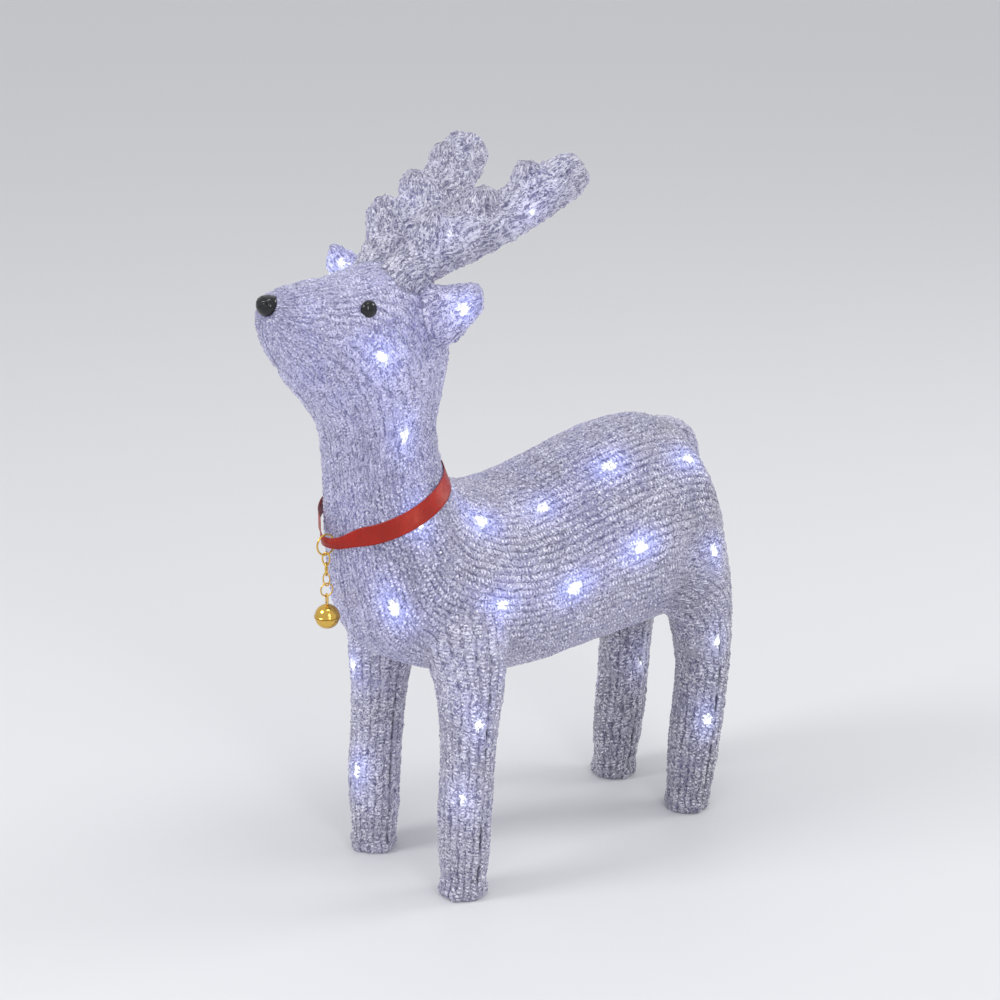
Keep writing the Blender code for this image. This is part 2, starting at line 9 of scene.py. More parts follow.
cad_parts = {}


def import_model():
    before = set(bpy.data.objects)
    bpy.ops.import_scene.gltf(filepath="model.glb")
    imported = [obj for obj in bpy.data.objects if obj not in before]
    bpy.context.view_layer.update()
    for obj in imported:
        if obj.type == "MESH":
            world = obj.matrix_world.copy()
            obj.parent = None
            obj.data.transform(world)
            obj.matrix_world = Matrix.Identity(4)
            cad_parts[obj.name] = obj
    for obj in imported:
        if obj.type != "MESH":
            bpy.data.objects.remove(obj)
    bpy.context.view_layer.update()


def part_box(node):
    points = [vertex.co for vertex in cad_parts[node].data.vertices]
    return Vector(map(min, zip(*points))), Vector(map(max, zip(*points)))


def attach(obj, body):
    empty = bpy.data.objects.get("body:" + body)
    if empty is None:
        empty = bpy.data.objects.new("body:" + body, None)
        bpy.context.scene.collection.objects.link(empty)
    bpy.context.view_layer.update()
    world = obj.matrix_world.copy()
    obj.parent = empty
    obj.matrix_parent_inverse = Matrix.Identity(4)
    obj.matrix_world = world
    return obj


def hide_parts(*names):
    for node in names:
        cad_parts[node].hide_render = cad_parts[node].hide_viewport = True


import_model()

SCENE = bpy.context.scene
MM = 0.001
SHIFT_Y, SHIFT_Z = 33.4, 3.0
TAU = 2 * math.pi

# ------------------------------------------------------------------ camera, light, floor
def build_camera():
    cam = bpy.data.cameras.new("camera")
    cam.lens, cam.sensor_width = 100.8, 36.0
    ob = bpy.data.objects.new("camera", cam)
    SCENE.collection.objects.link(ob)
    a, e = math.radians(50.5), math.radians(17.6)
    back = Vector((math.sin(a) * math.cos(e), -math.cos(a) * math.cos(e), math.sin(e)))
    ob.location = Vector((0, (-28.0 + SHIFT_Y) * MM, 0.1955)) + back * 1.4737
    ob.rotation_mode = "QUATERNION"
    ob.rotation_quaternion = (-back).to_track_quat("-Z", "Y")
    cam.clip_start, cam.clip_end = 0.02, 40
    SCENE.camera = ob

def area(name, at, aim, size, power, colour=(1, 1, 1)):
    l = bpy.data.lights.new(name, "AREA")
    l.shape, l.size, l.size_y, l.energy, l.color = "RECTANGLE", size[0], size[1], power, colour
    ob = bpy.data.objects.new(name, l)
    ob.location = at
    ob.rotation_mode = "QUATERNION"
    ob.rotation_quaternion = (Vector(aim) - Vector(at)).to_track_quat("-Z", "Y")
    SCENE.collection.objects.link(ob)

def nodes_of(name):
    m = bpy.data.materials.new(name)
    m.use_nodes = True
    t = m.node_tree
    return m, t, t.nodes["Principled BSDF"]

def link(t, a, b):
    t.links.new(a, b)

def node(t, kind, **values):
    n = t.nodes.new(kind)
    for k, v in values.items():
        setattr(n, k, v)
    return n

def build_stage():
    bpy.ops.mesh.primitive_grid_add(x_subdivisions=8, y_subdivisions=8, size=40)
    floor = bpy.context.object
    floor.name = "floor"
    m, t, b = nodes_of("floor_pale")
    b.inputs["Base Color"].default_value = (0.69, 0.69, 0.70, 1)
    b.inputs["Roughness"].default_value = 0.55
    b.inputs["Specular IOR Level"].default_value = 0.3
    floor.data.materials.append(m)
    w = bpy.data.worlds.new("studio")
    w.use_nodes = True
    w.node_tree.nodes["Background"].inputs[0].default_value = (0.86, 0.87, 0.90, 1)
    w.node_tree.nodes["Background"].inputs[1].default_value = 0.86
    SCENE.world = w
    area("key", (-0.35, -1.25, 1.30), (0, 0, 0.18), (0.5, 0.5), 10)
    area("fill", (1.5, -0.45, 0.85), (0, 0, 0.2), (0.35, 0.9), 5)
    area("rim", (0.6, 1.3, 1.1), (0, 0, 0.25), (0.6, 0.4), 6.5)
    area("top", (0.35, -0.1, 1.7), (0, 0, 0.25), (0.5, 0.5), 3)
    SCENE.view_settings.view_transform = "Standard"
    SCENE.view_settings.look = "None"

# ------------------------------------------------------------------ form tables, as in the solids (mm)
BODY_RINGS = [
    (107.5, 160, 109.5, 143, 9), (108, 168, 111.5, 134, 17), (103.5, 187, 110, 121, 29), (95, 204, 105, 114, 36),
    (84, 216.5, 93, 109.5, 41), (68, 222, 74, 106, 43.5), (40, 221.2, 44, 104, 44), (8, 214, 10, 102.5, 44.5),
    (-20, 207.8, -24, 101.5, 46), (-43, 206, -62, 107, 48), (-59, 209.8, -97, 119.5, 47), (-68, 215, -121.5, 136.5, 42.5),
    (-74.5, 222, -130.5, 167, 36), (-77.5, 236, -134.5, 200, 30), (-77.5, 250, -137, 230, 26.5), (-72, 268, -140.5, 250.5, 27),
    (-68.5, 288, -148.5, 263.5, 29.5), (-73, 308, -156.3, 273, 30.5), (-88, 324, -163, 281.5, 29), (-108, 330.5, -168, 289, 26),
    (-128, 328, -172.5, 296, 21.5), (-148, 327.8, -175, 302, 17), (-162, 327.2, -176, 306, 13), (-170, 324.5, -176, 311, 8),
]
FRONT_LEG = [
    (38.8, -85.2, -3, 11, 11), (38.8, -85.2, 0.5, 12.6, 12.6), (38.8, -84.8, 7, 11.7, 11.7), (38.9, -84.3, 22, 13.1, 13.1), (39, -84, 40, 13.8, 13.8),
    (38.5, -81, 80, 14.2, 14.4), (37.5, -79, 112, 17, 18.2), (32.5, -78.5, 138, 19.5, 23), (25, -77, 160, 17, 22),
]
REAR_LEG = [
    (31.3, 83, -3, 11.2, 11.2), (31.3, 83, 0.5, 12.8, 12.8), (31.3, 83.6, 7, 11.9, 11.9), (31.3, 85.2, 22, 13.3, 13.4), (31.3, 87.4, 40, 14, 14.2),
    (31.8, 91.3, 80, 14.3, 15), (30, 90.3, 115, 15.5, 19.5), (26.5, 83.5, 150, 17, 22.5), (22, 76, 175, 15, 20),
]
BEAM = [
    (9, -103, 320, 11, 11), (13.6, -90, 332, 11.4, 12.2), (21.5, -66, 343.4, 12, 14.2), (30.5, -42, 355, 11.8, 13.8),
    (38.4, -23, 367, 11.4, 12.4), (41.4, -15.6, 371.6, 10.4, 11), (43.4, -11, 374.4, 7.2, 7.6),
]
TINES = [
    [(14, -90, 333, 9, 9), (18.5, -88, 343, 9, 9), (20, -87, 353, 8, 8), (21, -86, 358.5, 4.5, 4.5)],
    [(21.5, -64, 345, 9, 9), (25, -62, 356, 9, 9), (27, -61, 363, 8, 8), (27, -61, 368, 4.5, 4.5)],
    [(33, -36.8, 358.5, 9, 9), (33, -37.6, 367, 8.4, 8.4), (33, -37.4, 374, 7.2, 7.2), (33, -36.6, 378.5, 4.2, 4.2)],
]
EAR = [
    (18, -90, 305, 7, 13), (28, -90, 307, 7.4, 15), (36, -90, 310.5, 7.2, 14.2), (45, -90.3, 315.5, 6.6, 11.8),
    (53, -90.7, 319.5, 5.4, 9.8), (59, -91, 323, 3.6, 6.8), (61.5, -91, 323.5, 1.8, 4),
]
TAIL = [
    (0, 74, 211.5, 3, 7), (0, 86, 212.8, 4.6, 11), (0, 97.5, 208, 5.6, 12.5), (0, 104, 197, 5.2, 11),
    (0, 107.2, 186.5, 3.9, 7.5), (0, 108.8, 180.5, 1.6, 3.4),
]
NOSE_AT, NOSE_R = (0, -172.5, 319.5), 6.0
EYE_SPOT, EYE_R = (-130.5, 315.5), 4.6
RIBBON_BACK, RIBBON_FRONT = (-68, 226.5), (-141.3, 193.2)
RIBBON_W, RIBBON_W_FRONT = 10.0, 5.2
CHAIN_Y = -141.3
RING1 = dict(z=191.8, r=5.3, wire=0.5, yaw=0.0)
LINKS = [dict(z=184.4, yaw=-50.0), dict(z=178.9, yaw=42.0), dict(z=173.4, yaw=-62.0)]
LINK_A, LINK_B, LINK_WIRE = 1.85, 3.35, 0.45
RING2 = dict(z=167.9, r=3.35, wire=0.45, yaw=-8.0)
LOOP_YAW, LOOP_R, LOOP_WIRE, LOOP_Z = 72.0, 1.5, 0.4, 164.2
BELL_Z, BELL_R, BELL_T = 153.7, 6.4, 0.5
CLAPPER_R = 1.9
SEATS = [
    (40, 80, 150), (30, 76, 202), (27.5, 24.7, 208), (44, 33.5, 164.7), (45.3, -14.7, 152.7), (30.5, -23.9, 192.5),
    (33, -66, 192.5), (46.5, -63, 155), (26.1, -116, 161), (31, -107, 205.7), (26, -108, 249.4), (29, -124, 292), (24, -98, 314),
]
SEAT_INSET = 9.0
GROMMET = (0, 62, 105.0)
# where each LED shines through the shell on the left side; the right side repeats them, a little moved
SPOTS = [
    (54.3, -96.6, 316.1, 0.8), (29.2, -126.5, 292.5, 0.72), (26.1, -111.1, 249.4, 0.7), (26.1, -118, 161.1, 1.0),
    (31.6, -107.1, 205.7, 0.9), (34.4, -68.2, 198.4, 1.0), (47.6, -65.3, 155.5, 0.8), (31.7, -23.9, 196.7, 0.7),
    (27.5, 24.7, 208, 1.0), (45.3, -14.7, 152.7, 1.25), (44, 33.5, 164.7, 1.1), (30.8, 78.2, 202.4, 1.0),
    (43.8, 87.6, 151.4, 0.75), (46.5, 88.9, 98.4, 0.6), (45.4, 83.8, 53.3, 0.75), (54.2, -85.9, 96, 0.55),
    (49, -93.7, 56, 0.5), (45.2, -43.5, 354.8, 0.36), (24, -84, 347, 0.3),
]
FAR_SPOTS = [(-18.9, 91.1, 68.1, 0.5), (-36.9, -96.4, 45.1, 0.75), (-39.9, -97, 104.7, 0.6), (-44.6, -96.8, 322.6, 0.5)]

# ------------------------------------------------------------------ mesh helpers
def smooth_rows(rows, n):
    p = np.asarray(rows, float)
    q = np.vstack([2 * p[0] - p[1], p, 2 * p[-1] - p[-2]])
    out = []
    for i in range(1, len(q) - 2):
        for t in np.linspace(0, 1, n, endpoint=False):
            a, b, c, d = q[i - 1], q[i], q[i + 1], q[i + 2]
            out.append(0.5 * (2 * b + (c - a) * t + (2 * a - 5 * b + 4 * c - d) * t * t + (3 * b - a - 3 * c + d) * t ** 3))
    out.append(q[-2])
    return np.array(out)

def world(v):
    return (np.asarray(v, float) + (0, SHIFT_Y, SHIFT_Z)) * MM

def make(name, verts, faces, smooth=True):
    """verts in table millimetres; faces a list of tuples or an (n, 4) array."""
    me = bpy.data.meshes.new(name)
    v = world(verts).astype(np.float32)
    if isinstance(faces, np.ndarray):
        k = faces.shape[1]
        me.vertices.add(len(v))
        me.vertices.foreach_set("co", v.ravel())
        me.loops.add(faces.size)
        me.loops.foreach_set("vertex_index", faces.astype(np.int32).ravel())
        me.polygons.add(len(faces))
        me.polygons.foreach_set("loop_start", np.arange(0, faces.size, k, dtype=np.int32))
        me.update(calc_edges=True)
    else:
        me.from_pydata(v.tolist(), [], faces)
    if smooth:
        me.shade_smooth()
    ob = bpy.data.objects.new(name, me)
    SCENE.collection.objects.link(ob)
    return ob

def grid_faces(n, m, base=0, close=True):
    i, j = np.meshgrid(np.arange(n - 1), np.arange(m if close else m - 1), indexing="ij")
    k = (j + 1) % m
    return (base + np.stack([i * m + j, i * m + k, (i + 1) * m + k, (i + 1) * m + j], -1)).reshape(-1, 4)

def capped(p):
    """Verts and faces of a closed tube from rings p (n, m, 3), with fan caps turned into quads-free polygons."""
    n, m = p.shape[:2]
    f = [tuple(int(x) for x in q) for q in grid_faces(n, m)]
    return p.reshape(-1, 3), f + [tuple(range(m))[::-1], tuple(range((n - 1) * m, n * m))]

def outward(ob):
    import bmesh
    bm = bmesh.new()
    bm.from_mesh(ob.data)
    bmesh.ops.recalc_face_normals(bm, faces=bm.faces)
    bm.to_mesh(ob.data)
    bm.free()
    return ob

def body_grid(n, m, grow=0.0):
    r = smooth_rows(BODY_RINGS, n)
    th = np.linspace(0, TAU, m, endpoint=False)
    d, v = r[:, 0:2], r[:, 2:4]
    c, h = (d + v) / 2, (d - v) / 2
    ln = np.linalg.norm(h, axis=1, keepdims=True)
    h = h * (ln + grow) / ln
    w = r[:, 4] + grow
    return np.stack([w[:, None] * np.sin(th), c[:, :1] + h[:, :1] * np.cos(th), c[:, 1:] + h[:, 1:] * np.cos(th)], -1)

def tube_grid(rows, n, m, up=(0, 1, 0), side=1):
    p = smooth_rows(rows, n)
    t = np.gradient(p[:, :3], axis=0)
    t /= np.linalg.norm(t, axis=1)[:, None]
    a = np.cross(np.array(up, float), t)
    a /= np.linalg.norm(a, axis=1)[:, None]
    b = np.cross(t, a)
    th = np.linspace(0, TAU, m, endpoint=False)
    g = p[:, None, :3] + a[:, None] * (np.cos(th)[None, :, None] * p[:, None, 3:4]) + b[:, None] * (np.sin(th)[None, :, None] * p[:, None, 4:5])
    g[..., 0] *= side
    return g

def value_noise(p, scale, seed):
    q = np.asarray(p, float) / scale + 1000.0
    i = np.floor(q).astype(np.int64)
    f = q - i
    f = f * f * (3 - 2 * f)
    out = 0
    for dx in (0, 1):
        for dy in (0, 1):
            for dz in (0, 1):
                h = ((i[:, 0] + dx) * 73856093) ^ ((i[:, 1] + dy) * 19349663) ^ ((i[:, 2] + dz) * 83492791) ^ (seed * 2654435)
                h = (h ^ (h >> 13)) * 1274126177 & 0xFFFFFFFF
                h = ((h ^ (h >> 16)) & 0xFFFF) / 65535.0
                w = (f[:, 0] if dx else 1 - f[:, 0]) * (f[:, 1] if dy else 1 - f[:, 1]) * (f[:, 2] if dz else 1 - f[:, 2])
                out = out + h * w
    return out

def hash01(k, seed=0):
    h = (np.asarray(k).astype(np.int64) * 2654435761 + seed * 40503) & 0xFFFFFFFF
    h = (h ^ (h >> 15)) * 2246822519 & 0xFFFFFFFF
    return ((h ^ (h >> 13)) & 0xFFFF) / 65535.0

def step(a, b, x):
    t = np.clip((x - a) / (b - a), 0, 1)
    return t * t * (3 - 2 * t)

# ------------------------------------------------------------------ the strand shells
# primitive: name, sample grid, strands round it; the ridge, bead and lump heights are set per kind in build_shells
PRIMS = [("body", body_grid(8, 96), 80)]
for side, word in ((1, "left"), (-1, "right")):
    PRIMS.append(("front_" + word, tube_grid(FRONT_LEG, 8, 36, side=side), 20))
    PRIMS.append(("rear_" + word, tube_grid(REAR_LEG, 8, 36, side=side), 20))
    PRIMS.append(("antler_" + word, tube_grid(BEAM, 8, 32, side=side), 24))
    for t in TINES:
        PRIMS.append(("antler_" + word, tube_grid(t, 6, 28, side=side), 18))
    PRIMS.append(("ear_" + word, tube_grid(EAR, 8, 32, up=(0, 0, 1), side=side), 20))
PRIMS.append(("tail", tube_grid(TAIL, 8, 28, up=(1, 0, 0)), 12))

def base_surface(voxel):
    """One smooth skin over all the mould shapes, with soft fillets where they meet."""
    verts, faces, k = [], [], 0
    for _, g, _ in PRIMS:
        v, f = capped(g)
        verts.append(v)
        faces += [tuple(x + k for x in q) for q in f]
        k += len(v)
    ob = outward(make("mould", np.vstack(verts), faces))
    for size, turns in ((0.0016, 9), (voxel, 5)):
        m = ob.modifiers.new("skin", "REMESH")
        m.mode, m.voxel_size = "VOXEL", size
        s = ob.modifiers.new("ease", "SMOOTH")
        s.factor, s.iterations = 0.5, turns
    dg = bpy.context.evaluated_depsgraph_get()
    me = bpy.data.meshes.new_from_object(ob.evaluated_get(dg))
    n = len(me.vertices)
    v = np.zeros(n * 3, np.float32)
    me.vertices.foreach_get("co", v)
    nr = np.zeros(n * 3, np.float32)
    me.vertices.foreach_get("normal", nr)
    f = np.zeros(len(me.polygons) * 4, np.int32)
    me.loops.foreach_get("vertex_index", f)
    bpy.data.objects.remove(ob)
    bpy.data.meshes.remove(me)
    return v.reshape(-1, 3).astype(float) / MM - (0, SHIFT_Y, SHIFT_Z), nr.reshape(-1, 3).astype(float), f.reshape(-1, 4)

def samples():
    pos, ta, tc, al, ui, du, nm, pid = [], [], [], [], [], [], [], []
    for k, (name, g, rows) in enumerate(PRIMS):
        n, m = g.shape[:2]
        a = np.gradient(g, axis=0)
        c = (np.roll(g, -1, 1) - np.roll(g, 1, 1)) / 2
        nn = np.cross(c, a)
        nn /= np.maximum(np.linalg.norm(nn, axis=2, keepdims=True), 1e-9)
        centre = g.mean(1, keepdims=True)
        nn *= np.sign(((g - centre) * nn).sum(2, keepdims=True) + 1e-12)
        s = np.vstack([np.zeros((1, m)), np.cumsum(np.linalg.norm(np.diff(g, axis=0), axis=2), 0)])
        pos.append(g.reshape(-1, 3)); ta.append(a.reshape(-1, 3)); tc.append(c.reshape(-1, 3)); nm.append(nn.reshape(-1, 3))
        al.append(s.ravel()); ui.append(np.tile(np.arange(m) * rows / m, n)); du.append(np.full(n * m, rows / m))
        pid.append(np.full(n * m, k))
    return [np.concatenate(x) for x in (pos, ta, tc, al, ui, du, nm, pid)]

def nearest(tree, pts):
    find = tree.find
    return np.array([find(p)[1] for p in pts.tolist()])

def tree_of(p):
    t = KDTree(len(p))
    for i, q in enumerate(p.tolist()):
        t.insert(q, i)
    t.balance()
    return t

S_POS, S_TA, S_TC, S_AL, S_UI, S_DU, S_NM, S_PID = samples()
N_BODY = int((S_PID == 0).sum())
BODY_TREE = tree_of(S_POS[:N_BODY])

def body_distance(p):
    i = nearest(BODY_TREE, p)
    return ((p - S_POS[i]) * S_NM[i]).sum(1), i

PITCH = 2.1            # beads along a strand, mm
SLANT = 0.55           # twist of the beads across a strand
GOLD = 0.618034

def strand(u, a):
    """Rope-like strands: u counts strands across, a is the way along in mm."""
    k = np.floor(u)
    f = u - k - 0.5
    ridge = np.sqrt(np.clip(1 - (2 * f) ** 2, 0, 1))
    g = a / PITCH + k * GOLD + SLANT * f
    g = g - np.floor(g) - 0.5
    return ridge, np.sqrt(np.clip(1 - (2 * g) ** 2, 0, 1))

VOXEL = 0.00072

def build_shells():
    v, nrm, faces = base_surface(VOXEL)
    d_body, i_body = body_distance(v)
    tree = tree_of(S_POS)
    near = nearest(tree, v)
    d = v - S_POS[near]
    la2, lc2 = (S_TA[near] ** 2).sum(1), (S_TC[near] ** 2).sum(1)
    fa = np.clip((d * S_TA[near]).sum(1) / np.maximum(la2, 1e-6), -1, 1)
    fc = np.clip((d * S_TC[near]).sum(1) / np.maximum(lc2, 1e-6), -1, 1)
    along = S_AL[near] + fa * np.sqrt(la2)
    u = S_UI[near] + fc * S_DU[near]
    prim = S_PID[near]
    kind = np.array([p[0].split("_")[0] for p in PRIMS])[prim]
    x, y, z = v.T
    hoof = step(5, 1, z) * np.isin(kind, ("front", "rear"))
    neck = step(205, 236, z) * step(-40, -60, y) * (kind == "body")
    wild = np.full(len(v), 0.2)
    for key, val in (("front", 0.35), ("rear", 0.35), ("antler", 0.85), ("ear", 1.0), ("tail", 0.5)):
        wild[kind == key] = val
    wild = np.maximum(wild, 0.45 * neck * step(262, 240, z))
    wild = np.where((kind == "body") & (z > 250), 0.3, wild)
    chest = step(40, 8, np.abs(x)) * step(-75, -105, y) * (kind == "body")
    wild = np.maximum(wild, 0.5 * chest)
    n1, n2, n3 = (value_noise(v, 7.5, q) - 0.5 for q in (51, 52, 53))
    m1, m2 = (value_noise(v, 2.4, q) - 0.5 for q in (54, 55))
    u = u + wild * (0.9 * n1 + 0.55 * m1) + 0.25 * n2
    along = along + wild * (3.2 * n2 + 1.6 * m2) + 1.2 * n3
    head = step(245, 272, z) * (kind == "body")
    # where the strands have run together into long clear streaks
    flow = np.full(len(v), 0.12)
    for key, val in (("front", 0.18), ("rear", 0.18), ("antler", 0.9), ("ear", 0.95), ("tail", 0.5)):
        flow[kind == key] = val
    flow = np.maximum.reduce([flow, 0.4 * head, 0.55 * neck * step(262, 240, z), 0.5 * chest])
    flow = np.clip(flow + 0.35 * (value_noise(v, 16, 57) - 0.5), 0, 1)
    ridge, beads = strand(u, along)
    # strands that turn from the flank down into the hind leg
    y0, z0 = 58.0, 100.0
    rr = np.hypot(y - y0, z - z0)
    arc_u, arc_a = rr / 4.3 + 0.3 * n1, np.arctan2(z - z0, y - y0) * np.maximum(rr, 8) + 1.5 * n2
    hind = (kind == "body") | (kind == "rear")
    w = step(176, 158, z) * step(y0 - 4, y0 + 14, y) * step(84, 104, z) * hind
    w *= step(12, 22, np.abs(x))
    # fewer and broader strands on the head
    on_head = head > 0
    centred = np.where(u > 40, u - 80, u)
    arc_u, arc_a, w = np.where(on_head, centred * 0.5 + 200, arc_u), np.where(on_head, along, arc_a), np.where(on_head, head, w)
    ar, ab = strand(arc_u, arc_a)
    ridge, beads = ridge * (1 - w) + ar * w, beads * (1 - w) + ab * w
    zero, cu_, ca_ = np.zeros(len(v)), np.where(w > 0.5, arc_u, u), np.where(w > 0.5, arc_a, along)
    streak = 0.6 * value_noise(np.stack([cu_ * 1.0, ca_ / 8.5, zero], 1), 1.0, 61) + 0.4 * value_noise(np.stack([cu_ * 2.0, ca_ / 4.2, zero], 1), 1.0, 62)
    lumps = value_noise(v, 2.6, 5) * 0.6 + value_noise(v, 1.3, 9) * 0.4
    broad = value_noise(v, 11, 21)
    A, B, C = np.full(len(v), 0.0), np.full(len(v), 0.0), np.full(len(v), 0.0)
    for key, (ra, bb, cc) in {"body": (0.95, 1.3, 0.9), "front": (0.7, 1.0, 1.5), "rear": (0.8, 1.0, 1.4), "antler": (1.2, 0.9, 2.6),
                              "ear": (0.8, 0.8, 2.0), "tail": (0.7, 0.9, 1.2)}.items():
        sel = kind == key
        A[sel], B[sel], C[sel] = ra, bb, cc
    A *= 1 - 0.35 * neck
    C += 0.5 * neck
    A *= 0.7 + 0.6 * broad
    A *= 1 - 0.8 * hoof
    C += 2.0 * hoof
    lump = lumps * (1 - hoof) + value_noise(v, 3.4, 31) * hoof
    calm = 1 - 0.75 * flow
    h = calm * (A * (ridge - 0.62) + B * ridge * (beads - 0.6)) + C * (lump - 0.5) + 2.6 * flow * (1 - hoof) * (streak - 0.5)
    # joints between the shell halves: side seams of the legs and the middle plane
    pos_y = np.zeros(len(v))
    for key, rows in (("front", FRONT_LEG), ("rear", REAR_LEG)):
        t = smooth_rows(rows, 6)
        sel = kind == key
        pos_y[sel] = np.abs(y[sel] - np.interp(z[sel], t[:, 2], t[:, 1]))
    leg = np.isin(kind, ("front", "rear"))
    seam = leg * step(0.9, 0.3, pos_y) * step(0.42, 0.62, value_noise(v * (0.2, 0.2, 1), 5.0, 41)) * (z < 112) * (z > 3)
    mid = (kind == "body") * step(0.7, 0.2, np.abs(x)) * 0.5
    h -= 0.6 * seam + 0.35 * mid
    out = v + nrm * h[:, None]
    out[:, 2] = np.maximum(out[:, 2], 0.02 - SHIFT_Z)
    # light from the LEDs behind the shell, painted onto it as a glowing core and a wider halo round each LED
    spots = list(SPOTS) + list(FAR_SPOTS) + [(-a, b + 5, c - 3, s) for a, b, c, s in SPOTS if not (abs(b + 85) < 14 and c < 110)]
    core, halo = np.zeros(len(v)), np.zeros(len(v))
    way = S_TA[near] / np.sqrt(np.maximum(la2, 1e-9))[:, None]
    for a, b, c, s in spots:
        q = v - v[np.argmin(((v - (a, b, c)) ** 2).sum(1))]
        r2 = (q ** 2).sum(1) - 0.62 * (q * way).sum(1) ** 2       # the light runs along the strands
        core += s * np.exp(-r2 / (2 * 1.7 ** 2))
        halo += s * np.exp(-r2 / (2 * 7.0 ** 2))
    leg_ = leg * step(125, 95, z)
    # dim is painted shade: base colour and glow are made darker on the lower legs, rump and antlers and lighter on the
    # head and chest
    values = {"core": core, "halo": halo, "seam": np.clip(seam + mid * 0.3, 0, 1), "arc_u": arc_u, "arc_a": arc_a, "arc_w": w,
              "clear": np.clip(hoof + 0.8 * np.isin(kind, ("antler", "ear")), 0, 1), "flow": flow,
              "cool": np.clip(0.35 + 0.6 * head + 0.6 * chest + 0.35 * neck + 0.35 * (kind == "ear") - 0.15 * leg_, 0, 1),
              "dim": 0.86 - 0.24 * leg_ - 0.30 * step(30, 85, y) * np.isin(kind, ("body", "rear")) - 0.22 * (kind == "antler") + 0.10 * head + 0.06 * chest}
    # strand coordinates per face corner, so that nothing is smeared where a count starts again
    cu, ca = u[faces], along[faces]
    rows = np.array([p[2] for p in PRIMS], float)[prim[faces]]
    jump = (cu.max(1) - cu.min(1)) > 0.4 * rows.min(1)
    cu = np.where(jump[:, None] & (cu < cu.max(1, keepdims=True) - 0.5 * rows), cu + rows, cu)
    mixed = (prim[faces] != prim[faces][:, :1]).any(1)
    cu[mixed], ca[mixed] = cu[mixed][:, :1], ca[mixed][:, :1]

    # split into the pieces
    fcv = faces
    fd = d_body[fcv].mean(1)
    fcen = out[fcv].mean(1)
    votes = kind[fcv[:, 0]]
    label = np.full(len(fcv), "", dtype=object)
    half = np.where(fcen[:, 0] > 0, "left", "right")
    is_body = (fd < 0.7) | (votes == "body")
    label[:] = ["body_shell_" + s for s in half]
    for end, rows in (("front", FRONT_LEG), ("rear", REAR_LEG)):
        t = smooth_rows(rows, 6)
        cy = np.interp(fcen[:, 2], t[:, 2], t[:, 1])
        sel = ~is_body & (votes == end)
        which = np.where(fcen[:, 1] < cy, "front", "rear")
        label[sel] = [f"{end}_{s}_leg_{w_}_half" for s, w_ in zip(half[sel], which[sel])]
    for key in ("antler", "ear"):
        sel = ~is_body & (votes == key)
        label[sel] = [key + "_" + s for s in half[sel]]
    label[~is_body & (votes == "tail")] = "tail"
    names, lab = np.unique(label.astype(str), return_inverse=True)
    lab = tidy(fcv, lab, names)
    lab[(np.hypot(fcen[:, 0] - GROMMET[0], fcen[:, 1] - GROMMET[1]) < 3.2) & (fcen[:, 2] < 112)] = -1     # the lead's outlet
    made = {}
    for k, name in enumerate(names):
        f = fcv[lab == k]
        if not len(f):
            continue
        used, inv = np.unique(f.ravel(), return_inverse=True)
        ob = make("shell_" + name, out[used], inv.reshape(-1, 4))
        for key, val in values.items():
            at = ob.data.attributes.new(key, "FLOAT", "POINT")
            at.data.foreach_set("value", val[used].astype(np.float32))
        for key, val in (("su", cu), ("sa", ca)):
            at = ob.data.attributes.new(key, "FLOAT", "CORNER")
            at.data.foreach_set("value", val[lab == k].ravel().astype(np.float32))
        made[name] = ob
    return made

def tidy(f, lab, names):
    """Small islands of one piece inside another go to the body shell they lie in."""
    e = np.stack([f, np.roll(f, -1, 1)], -1).reshape(-1, 2)
    e.sort(axis=1)
    fi = np.repeat(np.arange(len(f)), 4)
    order = np.lexsort((e[:, 1], e[:, 0]))
    e, fi = e[order], fi[order]
    same = (e[1:] == e[:-1]).all(1)
    a, b = fi[:-1][same], fi[1:][same]
    keep = lab[a] == lab[b]
    a, b = a[keep], b[keep]
    comp = np.arange(len(f))
    for _ in range(200):
        low = np.minimum(comp[a], comp[b])
        new = comp.copy()
        np.minimum.at(new, a, low)
        np.minimum.at(new, b, low)
        new = new[new]
        new = new[new]
        if (new == comp).all():
            break
        comp = new
    ids, inv, count = np.unique(comp, return_inverse=True, return_counts=True)
    lab = lab.copy()
    for k, name in enumerate(names):
        mine = np.unique(inv[lab == k])
        if len(mine) < 2:
            continue
        best = mine[np.argmax(count[mine])]
        if name.startswith("body_shell"):
            continue
        small = (lab == k) & (inv != best)
        target = "body_shell_right" if ("right" in name) else "body_shell_left"
        if target in names:
            lab[small] = int(np.where(names == target)[0][0])
    return lab

